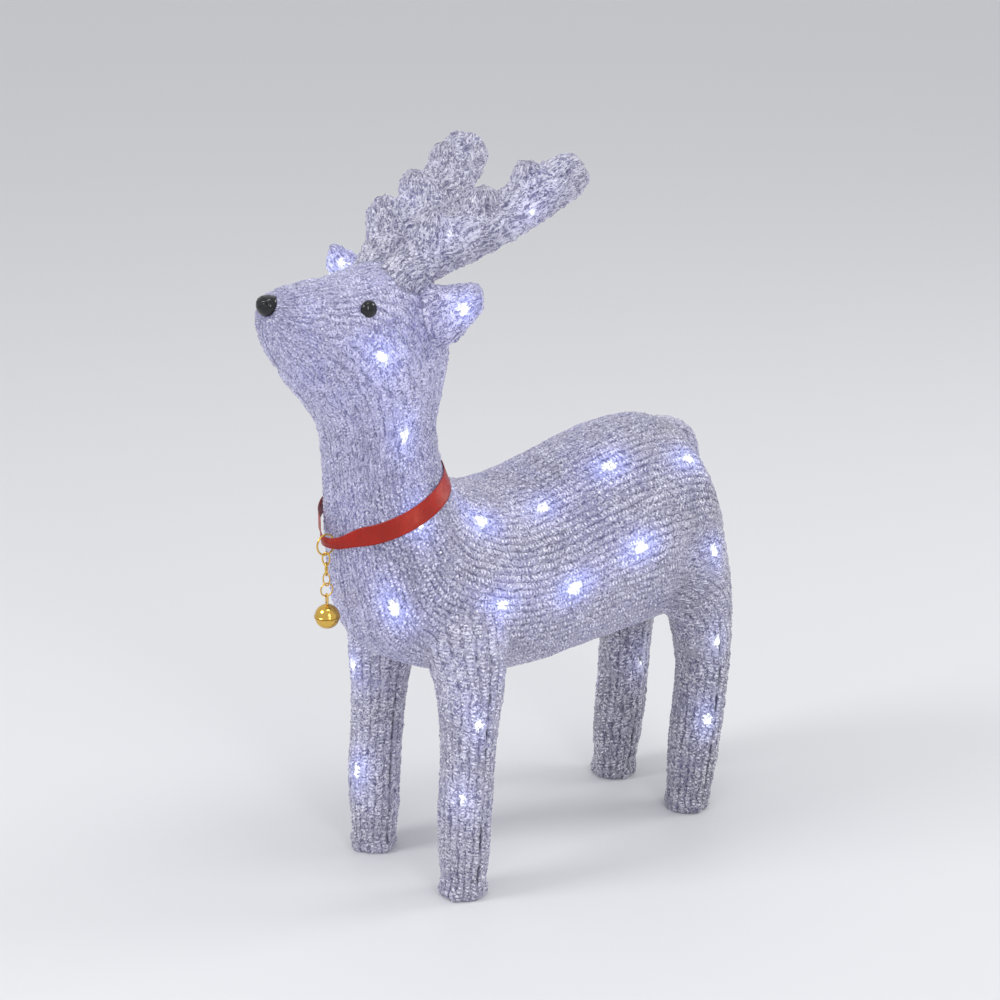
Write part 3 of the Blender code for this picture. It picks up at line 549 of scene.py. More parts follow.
# ------------------------------------------------------------------ materials
class Net:
    """Short hands for wiring a node tree."""
    def __init__(self, tree):
        self.t = tree

    def put(self, sock, value):
        if value is None:
            return
        if isinstance(value, (int, float)):
            sock.default_value = value
        elif isinstance(value, tuple):
            sock.default_value = (*value, 1) if len(sock.default_value) == 4 and len(value) == 3 else value
        else:
            self.t.links.new(value, sock)

    def new(self, kind, **values):
        n = self.t.nodes.new(kind)
        for k, v in values.items():
            setattr(n, k, v)
        return n

    def math(self, op, a, b=None, c=None, clamp=False):
        n = self.new("ShaderNodeMath", operation=op, use_clamp=clamp)
        for i, s in enumerate((a, b, c)):
            self.put(n.inputs[i], s)
        return n.outputs[0]

    def ramp(self, src, lo, hi, a=0.0, b=1.0):
        n = self.new("ShaderNodeMapRange", interpolation_type="SMOOTHSTEP")
        for i, s in enumerate((src, lo, hi, a, b)):
            self.put(n.inputs[i], s)
        return n.outputs[0]

    def mix(self, fac, a, b, mode="MIX"):
        n = self.new("ShaderNodeMix", data_type="RGBA", blend_type=mode)
        for i, s in ((0, fac), (6, a), (7, b)):
            self.put(n.inputs[i], s)
        return n.outputs[2]

    def fmix(self, fac, a, b):
        n = self.new("ShaderNodeMix", data_type="FLOAT")
        for i, s in ((0, fac), (2, a), (3, b)):
            self.put(n.inputs[i], s)
        return n.outputs[0]

    def attr(self, name):
        return self.new("ShaderNodeAttribute", attribute_name=name).outputs["Fac"]

    def tex(self, kind, src, scale, **inputs):
        n = self.new(kind)
        n.inputs["Scale"].default_value = scale
        self.put(n.inputs["Vector"], src)
        for k, v in inputs.items():
            n.inputs[k].default_value = v
        return n

def strand_group():
    """u counts strands across, a runs along in mm: gives the height, a painted highlight (glint) on each bead, painted
    shade in the grooves and beside each glint, and a random tone.
    """
    t = bpy.data.node_groups.new("strand_rows", "ShaderNodeTree")
    for k in ("u", "a"):
        t.interface.new_socket(k, in_out="INPUT", socket_type="NodeSocketFloat")
    for k in ("height", "glint", "gap", "tone"):
        t.interface.new_socket(k, in_out="OUTPUT", socket_type="NodeSocketFloat")
    n = Net(t)
    i, o = n.new("NodeGroupInput"), n.new("NodeGroupOutput")
    u, a = i.outputs[0], i.outputs[1]
    k = n.math("FLOOR", u)
    f = n.math("SUBTRACT", n.math("FRACT", u), 0.5)
    b = n.math("MULTIPLY_ADD", a, 1 / PITCH, n.math("MULTIPLY_ADD", k, GOLD, n.math("MULTIPLY", f, SLANT)))
    kb = n.math("FLOOR", b)
    g = n.math("SUBTRACT", n.math("FRACT", b), 0.5)
    cell = n.new("ShaderNodeCombineXYZ")
    n.put(cell.inputs[0], k)
    n.put(cell.inputs[1], kb)
    rnd = n.new("ShaderNodeTexWhiteNoise", noise_dimensions="3D")
    n.put(rnd.inputs["Vector"], cell.outputs[0])
    sep = n.new("ShaderNodeSeparateColor")
    n.put(sep.inputs[0], rnd.outputs["Color"])
    r, gg, bb = sep.outputs
    # painted highlight: each bead gets a small white glint spot, set a little off its middle at random
    f1 = n.math("ADD", f, n.math("MULTIPLY_ADD", r, 0.3, -0.05))
    g1 = n.math("ADD", g, n.math("MULTIPLY_ADD", gg, 0.3, -0.08))
    e = n.math("ADD", n.math("POWER", n.math("MULTIPLY", f1, 4.3 / 1.0), 2.0), n.math("POWER", n.math("MULTIPLY", g1, PITCH / 0.50), 2.0))
    glint = n.math("MULTIPLY", n.ramp(e, 1.3, 0.35), n.ramp(bb, 0.15, 0.8, 0.0, 1.0))
    # painted shade: a dark streak placed just beside each glint
    g2 = n.math("SUBTRACT", n.math("FRACT", n.math("ADD", b, n.math("MULTIPLY_ADD", bb, 0.25, 0.30))), 0.5)
    e2 = n.math("ADD", n.math("POWER", n.math("MULTIPLY", f1, 4.3 / 1.5), 2.0), n.math("POWER", n.math("MULTIPLY", g2, PITCH / 0.40), 2.0))
    shade = n.math("MULTIPLY", n.ramp(e2, 1.3, 0.3), n.ramp(gg, 0.2, 0.85, 0.0, 1.0))
    fa, ga = n.math("ABSOLUTE", f), n.math("ABSOLUTE", g)
    # painted shade in the grooves between strands, deeper at random
    groove_shade = n.math("MULTIPLY", n.ramp(fa, 0.33, 0.46), n.math("MULTIPLY_ADD", bb, 0.5, 0.45))
    gap = n.math("MAXIMUM", groove_shade, shade)
    hf = n.math("SQRT", n.math("SUBTRACT", 1.0, n.math("POWER", n.math("MULTIPLY", fa, 1.96), 2.0), clamp=True))
    hg = n.math("SQRT", n.math("SUBTRACT", 1.0, n.math("POWER", n.math("MULTIPLY", ga, 1.96), 2.0), clamp=True))
    height = n.math("MULTIPLY", hf, n.math("MULTIPLY_ADD", hg, 0.45, 0.55))
    for s, val in zip(o.inputs, (height, glint, gap, gg)):
        n.put(s, val)
    return t

def acrylic(name):
    m, t, b = nodes_of(name)
    n = Net(t)
    co = n.new("ShaderNodeTexCoord").outputs["Object"]
    group = strand_group()
    wob = n.new("ShaderNodeSeparateColor")
    n.put(wob.inputs[0], n.tex("ShaderNodeTexNoise", co, 330, Detail=1.0).outputs["Color"])
    du = n.math("MULTIPLY_ADD", wob.outputs[0], 0.28, -0.14)
    da = n.math("MULTIPLY_ADD", wob.outputs[1], 1.8, -0.9)
    def rows(u, a, across, down):
        u, a = n.math("ADD", n.attr(u), du), n.math("ADD", n.attr(a), da)
        g = n.new("ShaderNodeGroup", node_tree=group)
        n.put(g.inputs[0], u)
        n.put(g.inputs[1], a)
        v = n.new("ShaderNodeCombineXYZ")
        n.put(v.inputs[0], n.math("MULTIPLY", u, across))
        n.put(v.inputs[1], n.math("MULTIPLY", a, down))
        k = n.new("ShaderNodeTexNoise", noise_dimensions="2D")
        n.put(k.inputs["Vector"], v.outputs[0])
        k.inputs["Scale"].default_value, k.inputs["Detail"].default_value = 1.0, 2.0
        return [*g.outputs, k.outputs[0]]
    one, two, w = rows("su", "sa", 1.6, 0.16), rows("arc_u", "arc_a", 3.0, 0.15), n.attr("arc_w")
    height, glint, gap, tone, long_ = (n.fmix(w, one[k], two[k]) for k in range(5))
    flow, cool, dim = (n.attr(k) for k in ("flow", "cool", "dim"))
    # painted highlight and painted shade along the flow streaks: a light line and a dark line at two levels of the
    # streak noise
    streak_highlight = n.ramp(n.math("ABSOLUTE", n.math("SUBTRACT", long_, 0.535)), 0.10, 0.03)
    streak_shade = n.ramp(n.math("ABSOLUTE", n.math("SUBTRACT", long_, 0.425)), 0.085, 0.025)
    glint = n.math("MAXIMUM", n.math("MULTIPLY", glint, n.math("MULTIPLY_ADD", flow, -0.75, 1.0)), n.math("MULTIPLY", streak_highlight, n.math("MULTIPLY_ADD", flow, 0.5, 0.22)))
    gap = n.math("MAXIMUM", n.math("MULTIPLY", gap, n.math("MULTIPLY_ADD", flow, -0.6, 1.0)), n.math("MULTIPLY", streak_shade, n.math("MULTIPLY_ADD", flow, 0.30, 0.26)))
    core, halo, seam, clear = (n.attr(k) for k in ("core", "halo", "seam", "clear"))
    cells = n.tex("ShaderNodeTexVoronoi", co, 720)
    fine = n.tex("ShaderNodeTexVoronoi", co, 1300)
    sep = n.new("ShaderNodeSeparateColor")
    n.put(sep.inputs[0], cells.outputs["Color"])
    sepf = n.new("ShaderNodeSeparateColor")
    n.put(sepf.inputs[0], fine.outputs["Color"])
    # painted highlights: random small cells made into white sparkles, at two sizes
    sparkle_highlight = n.math("MULTIPLY", n.ramp(sep.outputs[0], 0.72, 0.93), n.ramp(cells.outputs["Distance"], 0.62, 0.2))
    fine_sparkle_highlight = n.ramp(sepf.outputs[0], 0.60, 0.95)
    speck = n.math("MULTIPLY", n.ramp(sep.outputs[1], 0.70, 0.88), n.ramp(cells.outputs["Distance"], 0.6, 0.25))
    fspeck = n.ramp(sepf.outputs[1], 0.62, 0.95)
    cloud = n.tex("ShaderNodeTexNoise", co, 38, Detail=3.0).outputs[0]
    patch = n.ramp(n.tex("ShaderNodeTexNoise", co, 90, Detail=2.0).outputs[0], 0.35, 0.65)
    # painted light: the base colour turns bluer in the halo round each LED, besides random bluer patches
    blue = n.math("ADD", n.ramp(cloud, 0.42, 0.66, 0.0, 0.55), n.math("MULTIPLY", halo, 0.75), clamp=True)
    tint = n.mix(blue, n.mix(cool, (0.42, 0.40, 0.50), (0.40, 0.39, 0.60)), (0.30, 0.31, 0.78))
    base = n.mix(n.math("MULTIPLY_ADD", tone, 0.4, 0.0), tint, (0.60, 0.59, 0.76))
    # painted shade: dim darkens the base colour on the lower legs, rump and antlers and lightens it on the head and
    # chest
    base = n.mix(1.0, base, n.math("MULTIPLY_ADD", dim, 0.8, 0.15), "MULTIPLY")
    # painted shade: grooves, dark streaks beside the glints and dark flow lines turn the base colour deep blue, a
    # little less on hooves, antlers and ears
    base = n.mix(n.math("MULTIPLY", gap, n.math("MULTIPLY_ADD", clear, -0.15, 0.85)), base, n.mix(n.ramp(flow, 0.1, 0.9), (0.045, 0.045, 0.15), (0.12, 0.12, 0.30)))
    base = n.mix(n.math("MULTIPLY", fspeck, 0.45), base, (0.10, 0.10, 0.27))
    base = n.mix(n.math("MULTIPLY", speck, n.math("MULTIPLY_ADD", flow, -0.45, 0.8)), base, (0.03, 0.03, 0.10))
    # painted highlights: glints, streak lights and sparkles turn the base colour white and add emission
    painted_highlight = n.math("MAXIMUM", glint, n.math("MAXIMUM", sparkle_highlight, n.math("MULTIPLY", fine_sparkle_highlight, n.math("MULTIPLY_ADD", patch, 0.5, 0.35))))
    base = n.mix(painted_highlight, base, (1.0, 1.0, 1.0))
    base = n.mix(n.math("MULTIPLY", seam, 0.75), base, (0.06, 0.06, 0.13))
    n.put(b.inputs["Base Color"], base)
    # painted glow: the shell emits light as if lit from inside, strongest in the LED cores and halos, weaker in the
    # painted shade and specks, brighter at the painted highlights
    glow = n.mix(n.ramp(core, 0.03, 0.5), n.mix(n.ramp(halo, 0.05, 0.9), n.mix(cool, (0.58, 0.55, 0.86), (0.46, 0.45, 0.93)), (0.38, 0.43, 1.0)), (0.88, 0.93, 1.0))
    open_ = n.math("SUBTRACT", 1.0, n.math("MULTIPLY", n.math("MAXIMUM", gap, n.math("MAXIMUM", speck, n.math("MULTIPLY", fspeck, 0.6))), 0.9))
    painted_even_glow = n.math("MULTIPLY", n.math("MULTIPLY_ADD", halo, 0.30, n.math("MULTIPLY", dim, 0.142)), n.math("MULTIPLY_ADD", painted_highlight, 1.8, n.math("MULTIPLY", open_, 0.72)))
    broken = n.math("MULTIPLY", core, n.ramp(sep.outputs[2], 0.0, 0.6, 0.35, 1.25))
    burst = n.math("MULTIPLY", n.ramp(broken, 0.12, 0.95, 0.0, 2.6), n.math("MULTIPLY_ADD", painted_highlight, 1.7, n.math("MULTIPLY", open_, 0.25)))
    strength = n.math("MULTIPLY", n.math("ADD", painted_even_glow, burst), n.math("SUBTRACT", 1.0, seam))
    n.put(b.inputs["Emission Color"], glow)
    n.put(b.inputs["Emission Strength"], strength)
    n.put(b.inputs["Roughness"], n.ramp(n.tex("ShaderNodeTexNoise", co, 420).outputs[0], 0.3, 0.7, 0.04, 0.17))
    b.inputs["IOR"].default_value = 1.52
    b.inputs["Specular IOR Level"].default_value = 0.9
    b.inputs["Transmission Weight"].default_value = 0.35
    b.inputs["Coat Weight"].default_value = 0.6
    b.inputs["Sheen Weight"].default_value = 0.45
    b.inputs["Sheen Roughness"].default_value = 0.25
    b.inputs["Sheen Tint"].default_value = (0.85, 0.85, 1.0, 1)
    b.inputs["Coat Roughness"].default_value = 0.06
    tiny = n.tex("ShaderNodeTexNoise", co, 1300, Detail=1.0).outputs[0]
    rough = n.math("MULTIPLY_ADD", n.math("MULTIPLY", cells.outputs["Distance"], -0.35), 1.0, n.math("MULTIPLY", tiny, 0.18))
    b1 = n.new("ShaderNodeBump")
    b1.inputs["Strength"].default_value, b1.inputs["Distance"].default_value = 1.0, 0.0014
    grain = n.math("MULTIPLY", rough, n.math("MULTIPLY_ADD", flow, -0.45, 1.0))
    n.put(b1.inputs["Height"], n.math("ADD", n.math("MULTIPLY_ADD", height, 0.9, grain), n.math("MULTIPLY", long_, n.math("MULTIPLY_ADD", flow, 2.6, 0.4))))
    n.put(b.inputs["Normal"], b1.outputs[0])
    return m

def plain(name, dark, light, scale, rough, metallic=0.0, bump=0.15, distance=0.0001, stretch=None, coat=0.0, sheen=0.0):
    m, t, b = nodes_of(name)
    co = node(t, "ShaderNodeTexCoord")
    src = co.outputs["Object"]
    if stretch:
        mp = node(t, "ShaderNodeMapping")
        mp.inputs["Scale"].default_value = stretch
        link(t, src, mp.inputs[0])
        src = mp.outputs[0]
    n = node(t, "ShaderNodeTexNoise")
    n.inputs["Scale"].default_value = scale
    n.inputs["Detail"].default_value = 5
    link(t, src, n.inputs["Vector"])
    mx = node(t, "ShaderNodeMix", data_type="RGBA")
    link(t, n.outputs[0], mx.inputs[0])
    mx.inputs[6].default_value, mx.inputs[7].default_value = (*dark, 1), (*light, 1)
    link(t, mx.outputs[2], b.inputs["Base Color"])
    r = node(t, "ShaderNodeMapRange")
    link(t, n.outputs[0], r.inputs[0])
    r.inputs[1].default_value, r.inputs[2].default_value = 0.3, 0.7
    r.inputs[3].default_value, r.inputs[4].default_value = rough
    link(t, r.outputs[0], b.inputs["Roughness"])
    bp = node(t, "ShaderNodeBump")
    bp.inputs["Strength"].default_value, bp.inputs["Distance"].default_value = bump, distance
    link(t, n.outputs[0], bp.inputs["Height"])
    link(t, bp.outputs[0], b.inputs["Normal"])
    b.inputs["Metallic"].default_value = metallic
    b.inputs["Coat Weight"].default_value = coat
    b.inputs["Sheen Weight"].default_value = sheen
    return m, t, b, src

# ------------------------------------------------------------------ hardware, eyes, strings
def piece(name, verts, faces, mat, body, node_name=None, slot=None, smooth=True):
    ob = outward(make(name, np.asarray(verts, float), faces, smooth))
    ob.data.materials.append(mat)
    finish_piece(ob, body, node_name or name)
    return ob

def finish_piece(ob, body, nodes):
    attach(ob, body)
    for n in nodes if isinstance(nodes, (list, tuple)) else (nodes,):
        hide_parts(n)

def quads(n, m, base=0, close=True):
    return [tuple(int(x) for x in q) for q in grid_faces(n, m, base, close)]

def turned(profile, seg, centre, wobble=None):
    """Closed profile of (r, z) turned about +Z; r = 0 makes a pole."""
    v, idx = [], []
    for r, z in profile:
        if r < 1e-6:
            idx.append([len(v)] * seg)
            v.append((centre[0], centre[1], centre[2] + z))
        else:
            idx.append(list(range(len(v), len(v) + seg)))
            for j in range(seg):
                a = TAU * j / seg
                k = r * (wobble(a, z) if wobble else 1)
                v.append((centre[0] + k * math.cos(a), centre[1] + k * math.sin(a), centre[2] + z))
    f = []
    for i in range(len(profile)):
        a, b = idx[i], idx[(i + 1) % len(profile)]
        if a[0] == a[1] and b[0] == b[1]:
            continue
        for j in range(seg):
            k = (j + 1) % seg
            q = []
            for x in (a[j], a[k], b[k], b[j]):
                if x not in q:
                    q.append(x)
            f.append(tuple(q))
    return v, f

def oval_ring(centre, a, b, wire, yaw, seg=84, sides=14, cut=None, spread=0.12):
    """Bent wire ring; cut is the angle of its open joint, whose ends stand a little apart and out of line."""
    ny = math.radians(yaw)
    nrm, hor, up = np.array([math.cos(ny), math.sin(ny), 0]), np.array([-math.sin(ny), math.cos(ny), 0]), np.array([0, 0, 1.0])
    t0 = math.radians(cut) if cut is not None else 0.0
    half = 0.5 * spread / max(a, b) if cut is not None else 0.0
    ts = np.linspace(t0 + half, t0 + TAU - half, seg) if cut is not None else np.linspace(0, TAU, seg, endpoint=False)
    v = []
    ends = np.linspace(-1, 1, len(ts)) if cut is not None else np.zeros(len(ts))
    for i, t in enumerate(ts):
        c = hor * a * math.cos(t) + up * b * math.sin(t)
        out = hor * math.cos(t) * b + up * math.sin(t) * a
        out /= np.linalg.norm(out)
        c = c + nrm * (ends[i] ** 7) * wire * 0.22
        w = wire
        if cut is not None and i in (0, len(ts) - 1):
            w = wire * 0.8
        u = TAU * np.arange(sides) / sides
        v.append(np.array(centre) + c + np.outer(np.cos(u), out) * w + np.outer(np.sin(u), nrm) * w)
    v = np.vstack(v)
    if cut is not None:
        f = quads(len(ts), sides) + [tuple(range(sides)), tuple(range((len(ts) - 1) * sides, len(ts) * sides))]
    else:
        n = len(ts)
        f = [(i * sides + j, i * sides + (j + 1) % sides, (i + 1) % n * sides + (j + 1) % sides, (i + 1) % n * sides + j)
             for i in range(n) for j in range(sides)]
    return v, f

def boolean(ob, v, f):
    tool = outward(make("tool", np.asarray(v, float), f, False))
    m = ob.modifiers.new("cut", "BOOLEAN")
    m.operation, m.object, m.solver = "DIFFERENCE", tool, "EXACT"
    dg = bpy.context.evaluated_depsgraph_get()
    me = bpy.data.meshes.new_from_object(ob.evaluated_get(dg))
    ob.modifiers.clear()
    ob.data = me
    bpy.data.objects.remove(tool)
    return ob

def hardware(gold, steel):
    c = (0, CHAIN_Y)
    piece("ring_upper", *oval_ring((*c, RING1["z"]), RING1["r"], RING1["r"], RING1["wire"], RING1["yaw"], cut=28), gold, "upper_ring", "jump_ring_upper", "gold")
    for i, l in enumerate(LINKS):
        piece(f"link_{i + 1}", *oval_ring((*c, l["z"]), LINK_A, LINK_B, LINK_WIRE - (0.065 if i == 2 else 0), l["yaw"], 60, 12, cut=4), gold, f"link_{i + 1}", f"chain_link_{i + 1}", "gold")
    piece("ring_lower", *oval_ring((*c, RING2["z"]), RING2["r"], RING2["r"], RING2["wire"] - 0.065, RING2["yaw"], 72, 12, cut=200), gold, "lower_ring", "jump_ring_lower", "gold")
    r, t = BELL_R, BELL_T
    def bowl(sign):
        n = 26
        arc = [math.pi / 2 * (i / n) ** 0.9 for i in range(2, n)]
        p = [(r - t, 0.12), (r + 0.18, 0.12), (r + 0.28, 0.2), (r + 0.3, 0.36), (r + 0.24, 0.54), (r + 0.08, 0.66)]
        p += [(r * math.cos(a), r * math.sin(a)) for a in arc if r * math.sin(a) > 0.8]
        p += [(0, r), (0, r - t)]
        p += [((r - t) * math.cos(a), (r - t) * math.sin(a)) for a in reversed(arc) if r * math.sin(a) > 0.5]
        return [(x, z * sign) for x, z in p]
    at = (*c, BELL_Z)
    piece("bell_upper", *turned(bowl(1), 96, at), gold, "bell", "bell_shell_upper", "gold")
    lower = outward(make("bell_lower", np.array(turned(bowl(-1), 96, at)[0]), turned(bowl(-1), 96, at)[1]))
    ly = math.radians(LOOP_YAW)
    cs, sn = math.cos(ly), math.sin(ly)
    box = []
    for z in (-8, -3):
        for x, y in ((-3.6, -0.45), (3.6, -0.45), (3.6, 0.45), (-3.6, 0.45)):
            box.append((x * cs - y * sn, CHAIN_Y + x * sn + y * cs, BELL_Z + z))
    boolean(lower, box, [(0, 1, 2, 3), (4, 5, 6, 7), (0, 1, 5, 4), (1, 2, 6, 5), (2, 3, 7, 6), (3, 0, 4, 7)])
    for k in (-1, 1):
        boolean(lower, *turned([(0, -8), (1.1, -8), (1.1, -3), (0, -3)], 28, (3.6 * k * cs, CHAIN_Y + 3.6 * k * sn, BELL_Z)))
    lower.data.materials.clear()
    lower.data.materials.append(gold)
    lower.data.set_sharp_from_angle(angle=math.radians(40))
    finish_piece(lower, "bell", "bell_shell_lower")
    arch = [(-LOOP_R, BELL_Z + BELL_R + 0.1), (-LOOP_R, LOOP_Z - 0.6)] + \
           [(-LOOP_R * math.cos(math.pi * i / 10), LOOP_Z + LOOP_R * math.sin(math.pi * i / 10)) for i in range(11)] + \
           [(LOOP_R, LOOP_Z - 0.6), (LOOP_R, BELL_Z + BELL_R + 0.1)]
    hx, hy = math.cos(ly + math.pi / 2), math.sin(ly + math.pi / 2)
    rows = [(q * hx, CHAIN_Y + q * hy, z, LOOP_WIRE, LOOP_WIRE) for q, z in arch]
    piece("bell_eye", *capped(tube_grid(rows, 4, 14, up=(cs, sn, 0))), gold, "bell", "bell_loop", "gold")
    k = 22
    ball = [(CLAPPER_R * math.sin(math.pi * i / k), -CLAPPER_R * math.cos(math.pi * i / k)) for i in range(k + 1)]
    ball = [(0 if i in (0, k) else q, z) for i, (q, z) in enumerate(ball)]
    prof = ball[:k // 2 + 1] + [(CLAPPER_R * 1.004, 0.05)] + ball[k // 2 + 1:]
    piece("clapper", *turned(prof, 40, (*c, BELL_Z - BELL_R + BELL_T + CLAPPER_R + 0.35)), steel, "clapper", "bell_clapper", "steel_ball")

def face_features(black):
    lo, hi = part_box("nose")
    k = 56
    at = np.array(NOSE_AT, float)
    def skin(p):
        """Pressed bead: broad and flat on top, drawn in below, with small blisters where it was cast."""
        q = p / np.linalg.norm(p, axis=1, keepdims=True)
        r = NOSE_R * (1 + 0.05 * np.clip(q[:, 2], 0, 1) - 0.13 * np.clip(-q[:, 2], 0, 1) ** 1.5)
        r -= 0.55 * step(0.75, 1.0, q[:, 2])
        n = value_noise(p + 40, 3.4, 71) - 0.5
        r += 0.5 * n
        front = step(0.1, 0.7, -q[:, 1]) * step(-0.35, 0.25, q[:, 2])
        for j in range(16):
            c = np.array([hash01(j, 81) * 1.8 - 0.9, -0.35 - 0.6 * hash01(j, 82), hash01(j, 83) * 1.1 - 0.3])
            c /= np.linalg.norm(c)
            d = np.linalg.norm(q - c, axis=1) * NOSE_R
            w = 0.55 + 0.6 * hash01(j, 84)
            r += front * (-0.42 * np.exp(-(d / (0.55 * w)) ** 2) + 0.16 * np.exp(-((d - w) / 0.3) ** 2))
        return q * r[:, None]
    prof = [(math.sin(math.pi * i / k), -math.cos(math.pi * i / k)) for i in range(k + 1)]
    prof = [(0 if i in (0, k) else q, z) for i, (q, z) in enumerate(prof)]
    v, f = turned(prof, 96, (0, 0, 0))
    f = [q for q in f if len(q) > 2]
    v = skin(np.array(v) + 0.0) + at
    piece("nose_bead", v, f, black, "root", "nose", "black_gloss")
    for word, side in (("left", 1), ("right", -1)):
        lo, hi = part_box("eye_" + word)
        c = (lo + hi) / 2 / MM
        outer = (hi.x if side > 0 else -lo.x) / MM
        base = outer - 4.5
        c = np.array([0, c.y - SHIFT_Y, c.z - SHIFT_Z])
        m, prof = 20, [(0, 0.2)]
        prof += [(3.9, 0.2), (EYE_R - 0.12, 0.35), (EYE_R, 0.7), (EYE_R - 0.05, 1.1)]
        prof += [((EYE_R - 0.12) * math.cos(math.pi / 2 * i / m), 1.2 + 3.2 * math.sin(math.pi / 2 * i / m)) for i in range(1, m)] + [(0, 4.4)]
        v, f = turned(prof, 72, (0, 0, 0))
        v = np.array(v)
        out = np.stack([side * (base + v[:, 2]), c[1] + v[:, 0], c[2] + v[:, 1]], 1)
        piece("eye_bead_" + word, out, f, black, "root", "eye_" + word, "black_gloss")

BEAD_R, WIRE_R = 2.4, 0.9
def light_string(name, pts, beads, mats):
    """Two twisted leads with a moulded holder and a clear, glowing LED lens at each bead."""
    p = smooth_rows(pts, 12)
    s = np.concatenate([[0], np.cumsum(np.linalg.norm(np.diff(p, axis=0), axis=1))])
    n = max(int(s[-1] / 0.9), 8)
    q = np.linspace(0, s[-1], n)
    pos = np.stack([np.interp(q, s, p[:, k]) for k in range(3)], 1)
    tan = np.gradient(pos, axis=0)
    tan /= np.linalg.norm(tan, axis=1)[:, None]
    fa = np.zeros_like(pos)
    a = np.cross(tan[0], (0.3, 0.5, 0.81))
    for i in range(n):
        a = a - tan[i] * (a @ tan[i])
        a /= np.linalg.norm(a)
        fa[i] = a
    fb = np.cross(tan, fa)
    verts, faces, mat_of, base = [], [], [], 0
    for w in (0, math.pi):
        ph = q / 9.0 * TAU + w
        c = pos + 0.42 * (np.cos(ph)[:, None] * fa + np.sin(ph)[:, None] * fb)
        u = TAU * np.arange(6) / 6
        g = c[:, None] + 0.4 * (np.cos(u)[None, :, None] * fa[:, None] + np.sin(u)[None, :, None] * fb[:, None])
        v, f = capped(g)
        verts.append(v)
        faces += [tuple(x + base for x in k) for k in f]
        mat_of += [0] * len(f)
        base += len(v)
    for i in beads:
        at = min(max(s[min(i * 12, len(s) - 1)], 4.2), s[-1] - 4.2)
        j = int(np.argmin(np.abs(q - at)))
        prof = [(0, -3.1), (0.9, -3.0), (1.5, -2.4), (2.1, -1.9), (2.3, -1.6), (2.3, 0.4), (2.2, 0.6), (1.7, 0.65), (1.65, 1.6), (1.4, 2.4), (0.8, 2.95), (0, 3.1)]
        v, f = turned(prof, 16, (0, 0, 0))
        v = np.array(v)
        v = pos[j] + v[:, :1] * fa[j] + v[:, 1:2] * fb[j] + v[:, 2:] * tan[j]
        verts.append(v)
        for k in f:
            z = np.mean([prof_z for prof_z in (np.array(v)[list(k)] - pos[j]) @ tan[j]])
            faces.append(tuple(x + base for x in k))
            mat_of.append(1 if z > 0.6 else 0)
        base += len(v)
    ob = outward(make(name + "_lights", np.vstack(verts), faces))
    for m in mats:
        ob.data.materials.append(m)
    ob.data.polygons.foreach_set("material_index", np.array(mat_of, np.int32))
    finish_piece(ob, "root", name)
    return ob

def light_strings(mats):
    rows = smooth_rows(BODY_RINGS, 4)
    axis = np.stack([np.zeros(len(rows)), (rows[:, 0] + rows[:, 2]) / 2, (rows[:, 1] + rows[:, 3]) / 2], 1)
    def seat(p):
        p = np.array(p, float)
        c = axis[np.argmin(np.linalg.norm(axis - p, axis=1))]
        return p + (c - p) / np.linalg.norm(c - p) * SEAT_INSET
    left = [seat(p) for p in SEATS]
    right = [seat((-x, y + 5, z - 3)) for x, y, z in reversed(SEATS)]
    way = [np.array([6, 66, 117])] + left + [np.array([0, -100, 318])] + right + [np.array([-6, 58, 117])]
    light_string("led_string_body", way, [i for i in range(1, len(way) - 1) if i != len(left) + 1], mats)
    for word, side in (("left", 1), ("right", -1)):
        for end, t in (("front", FRONT_LEG), ("rear", REAR_LEG)):
            (x0, y0), y2, y4, y5 = t[4][:2], t[2][1], t[5][1], t[6][1]
            pts = [(x0 + 4, y2 + 2, 14), (x0 + 5, y0 - 3, 30), (x0 + 5.5, y0 - 4, 54), (x0 + 1, y4 + 3, 74), (x0 + 3, y4 - 5, 94), (x0 - 1, y5, 112)]
            light_string(f"led_string_{end}_{word}_leg", [(x * side, y, z) for x, y, z in pts], (0, 2, 4), mats)
        pts = [(16, -83, 337), (21.5, -66, 345.5), (30.5, -42, 356), (37.5, -24, 366)]
        light_string("led_string_antler_" + word, [(x * side, y, z) for x, y, z in pts], (1, 3), mats)

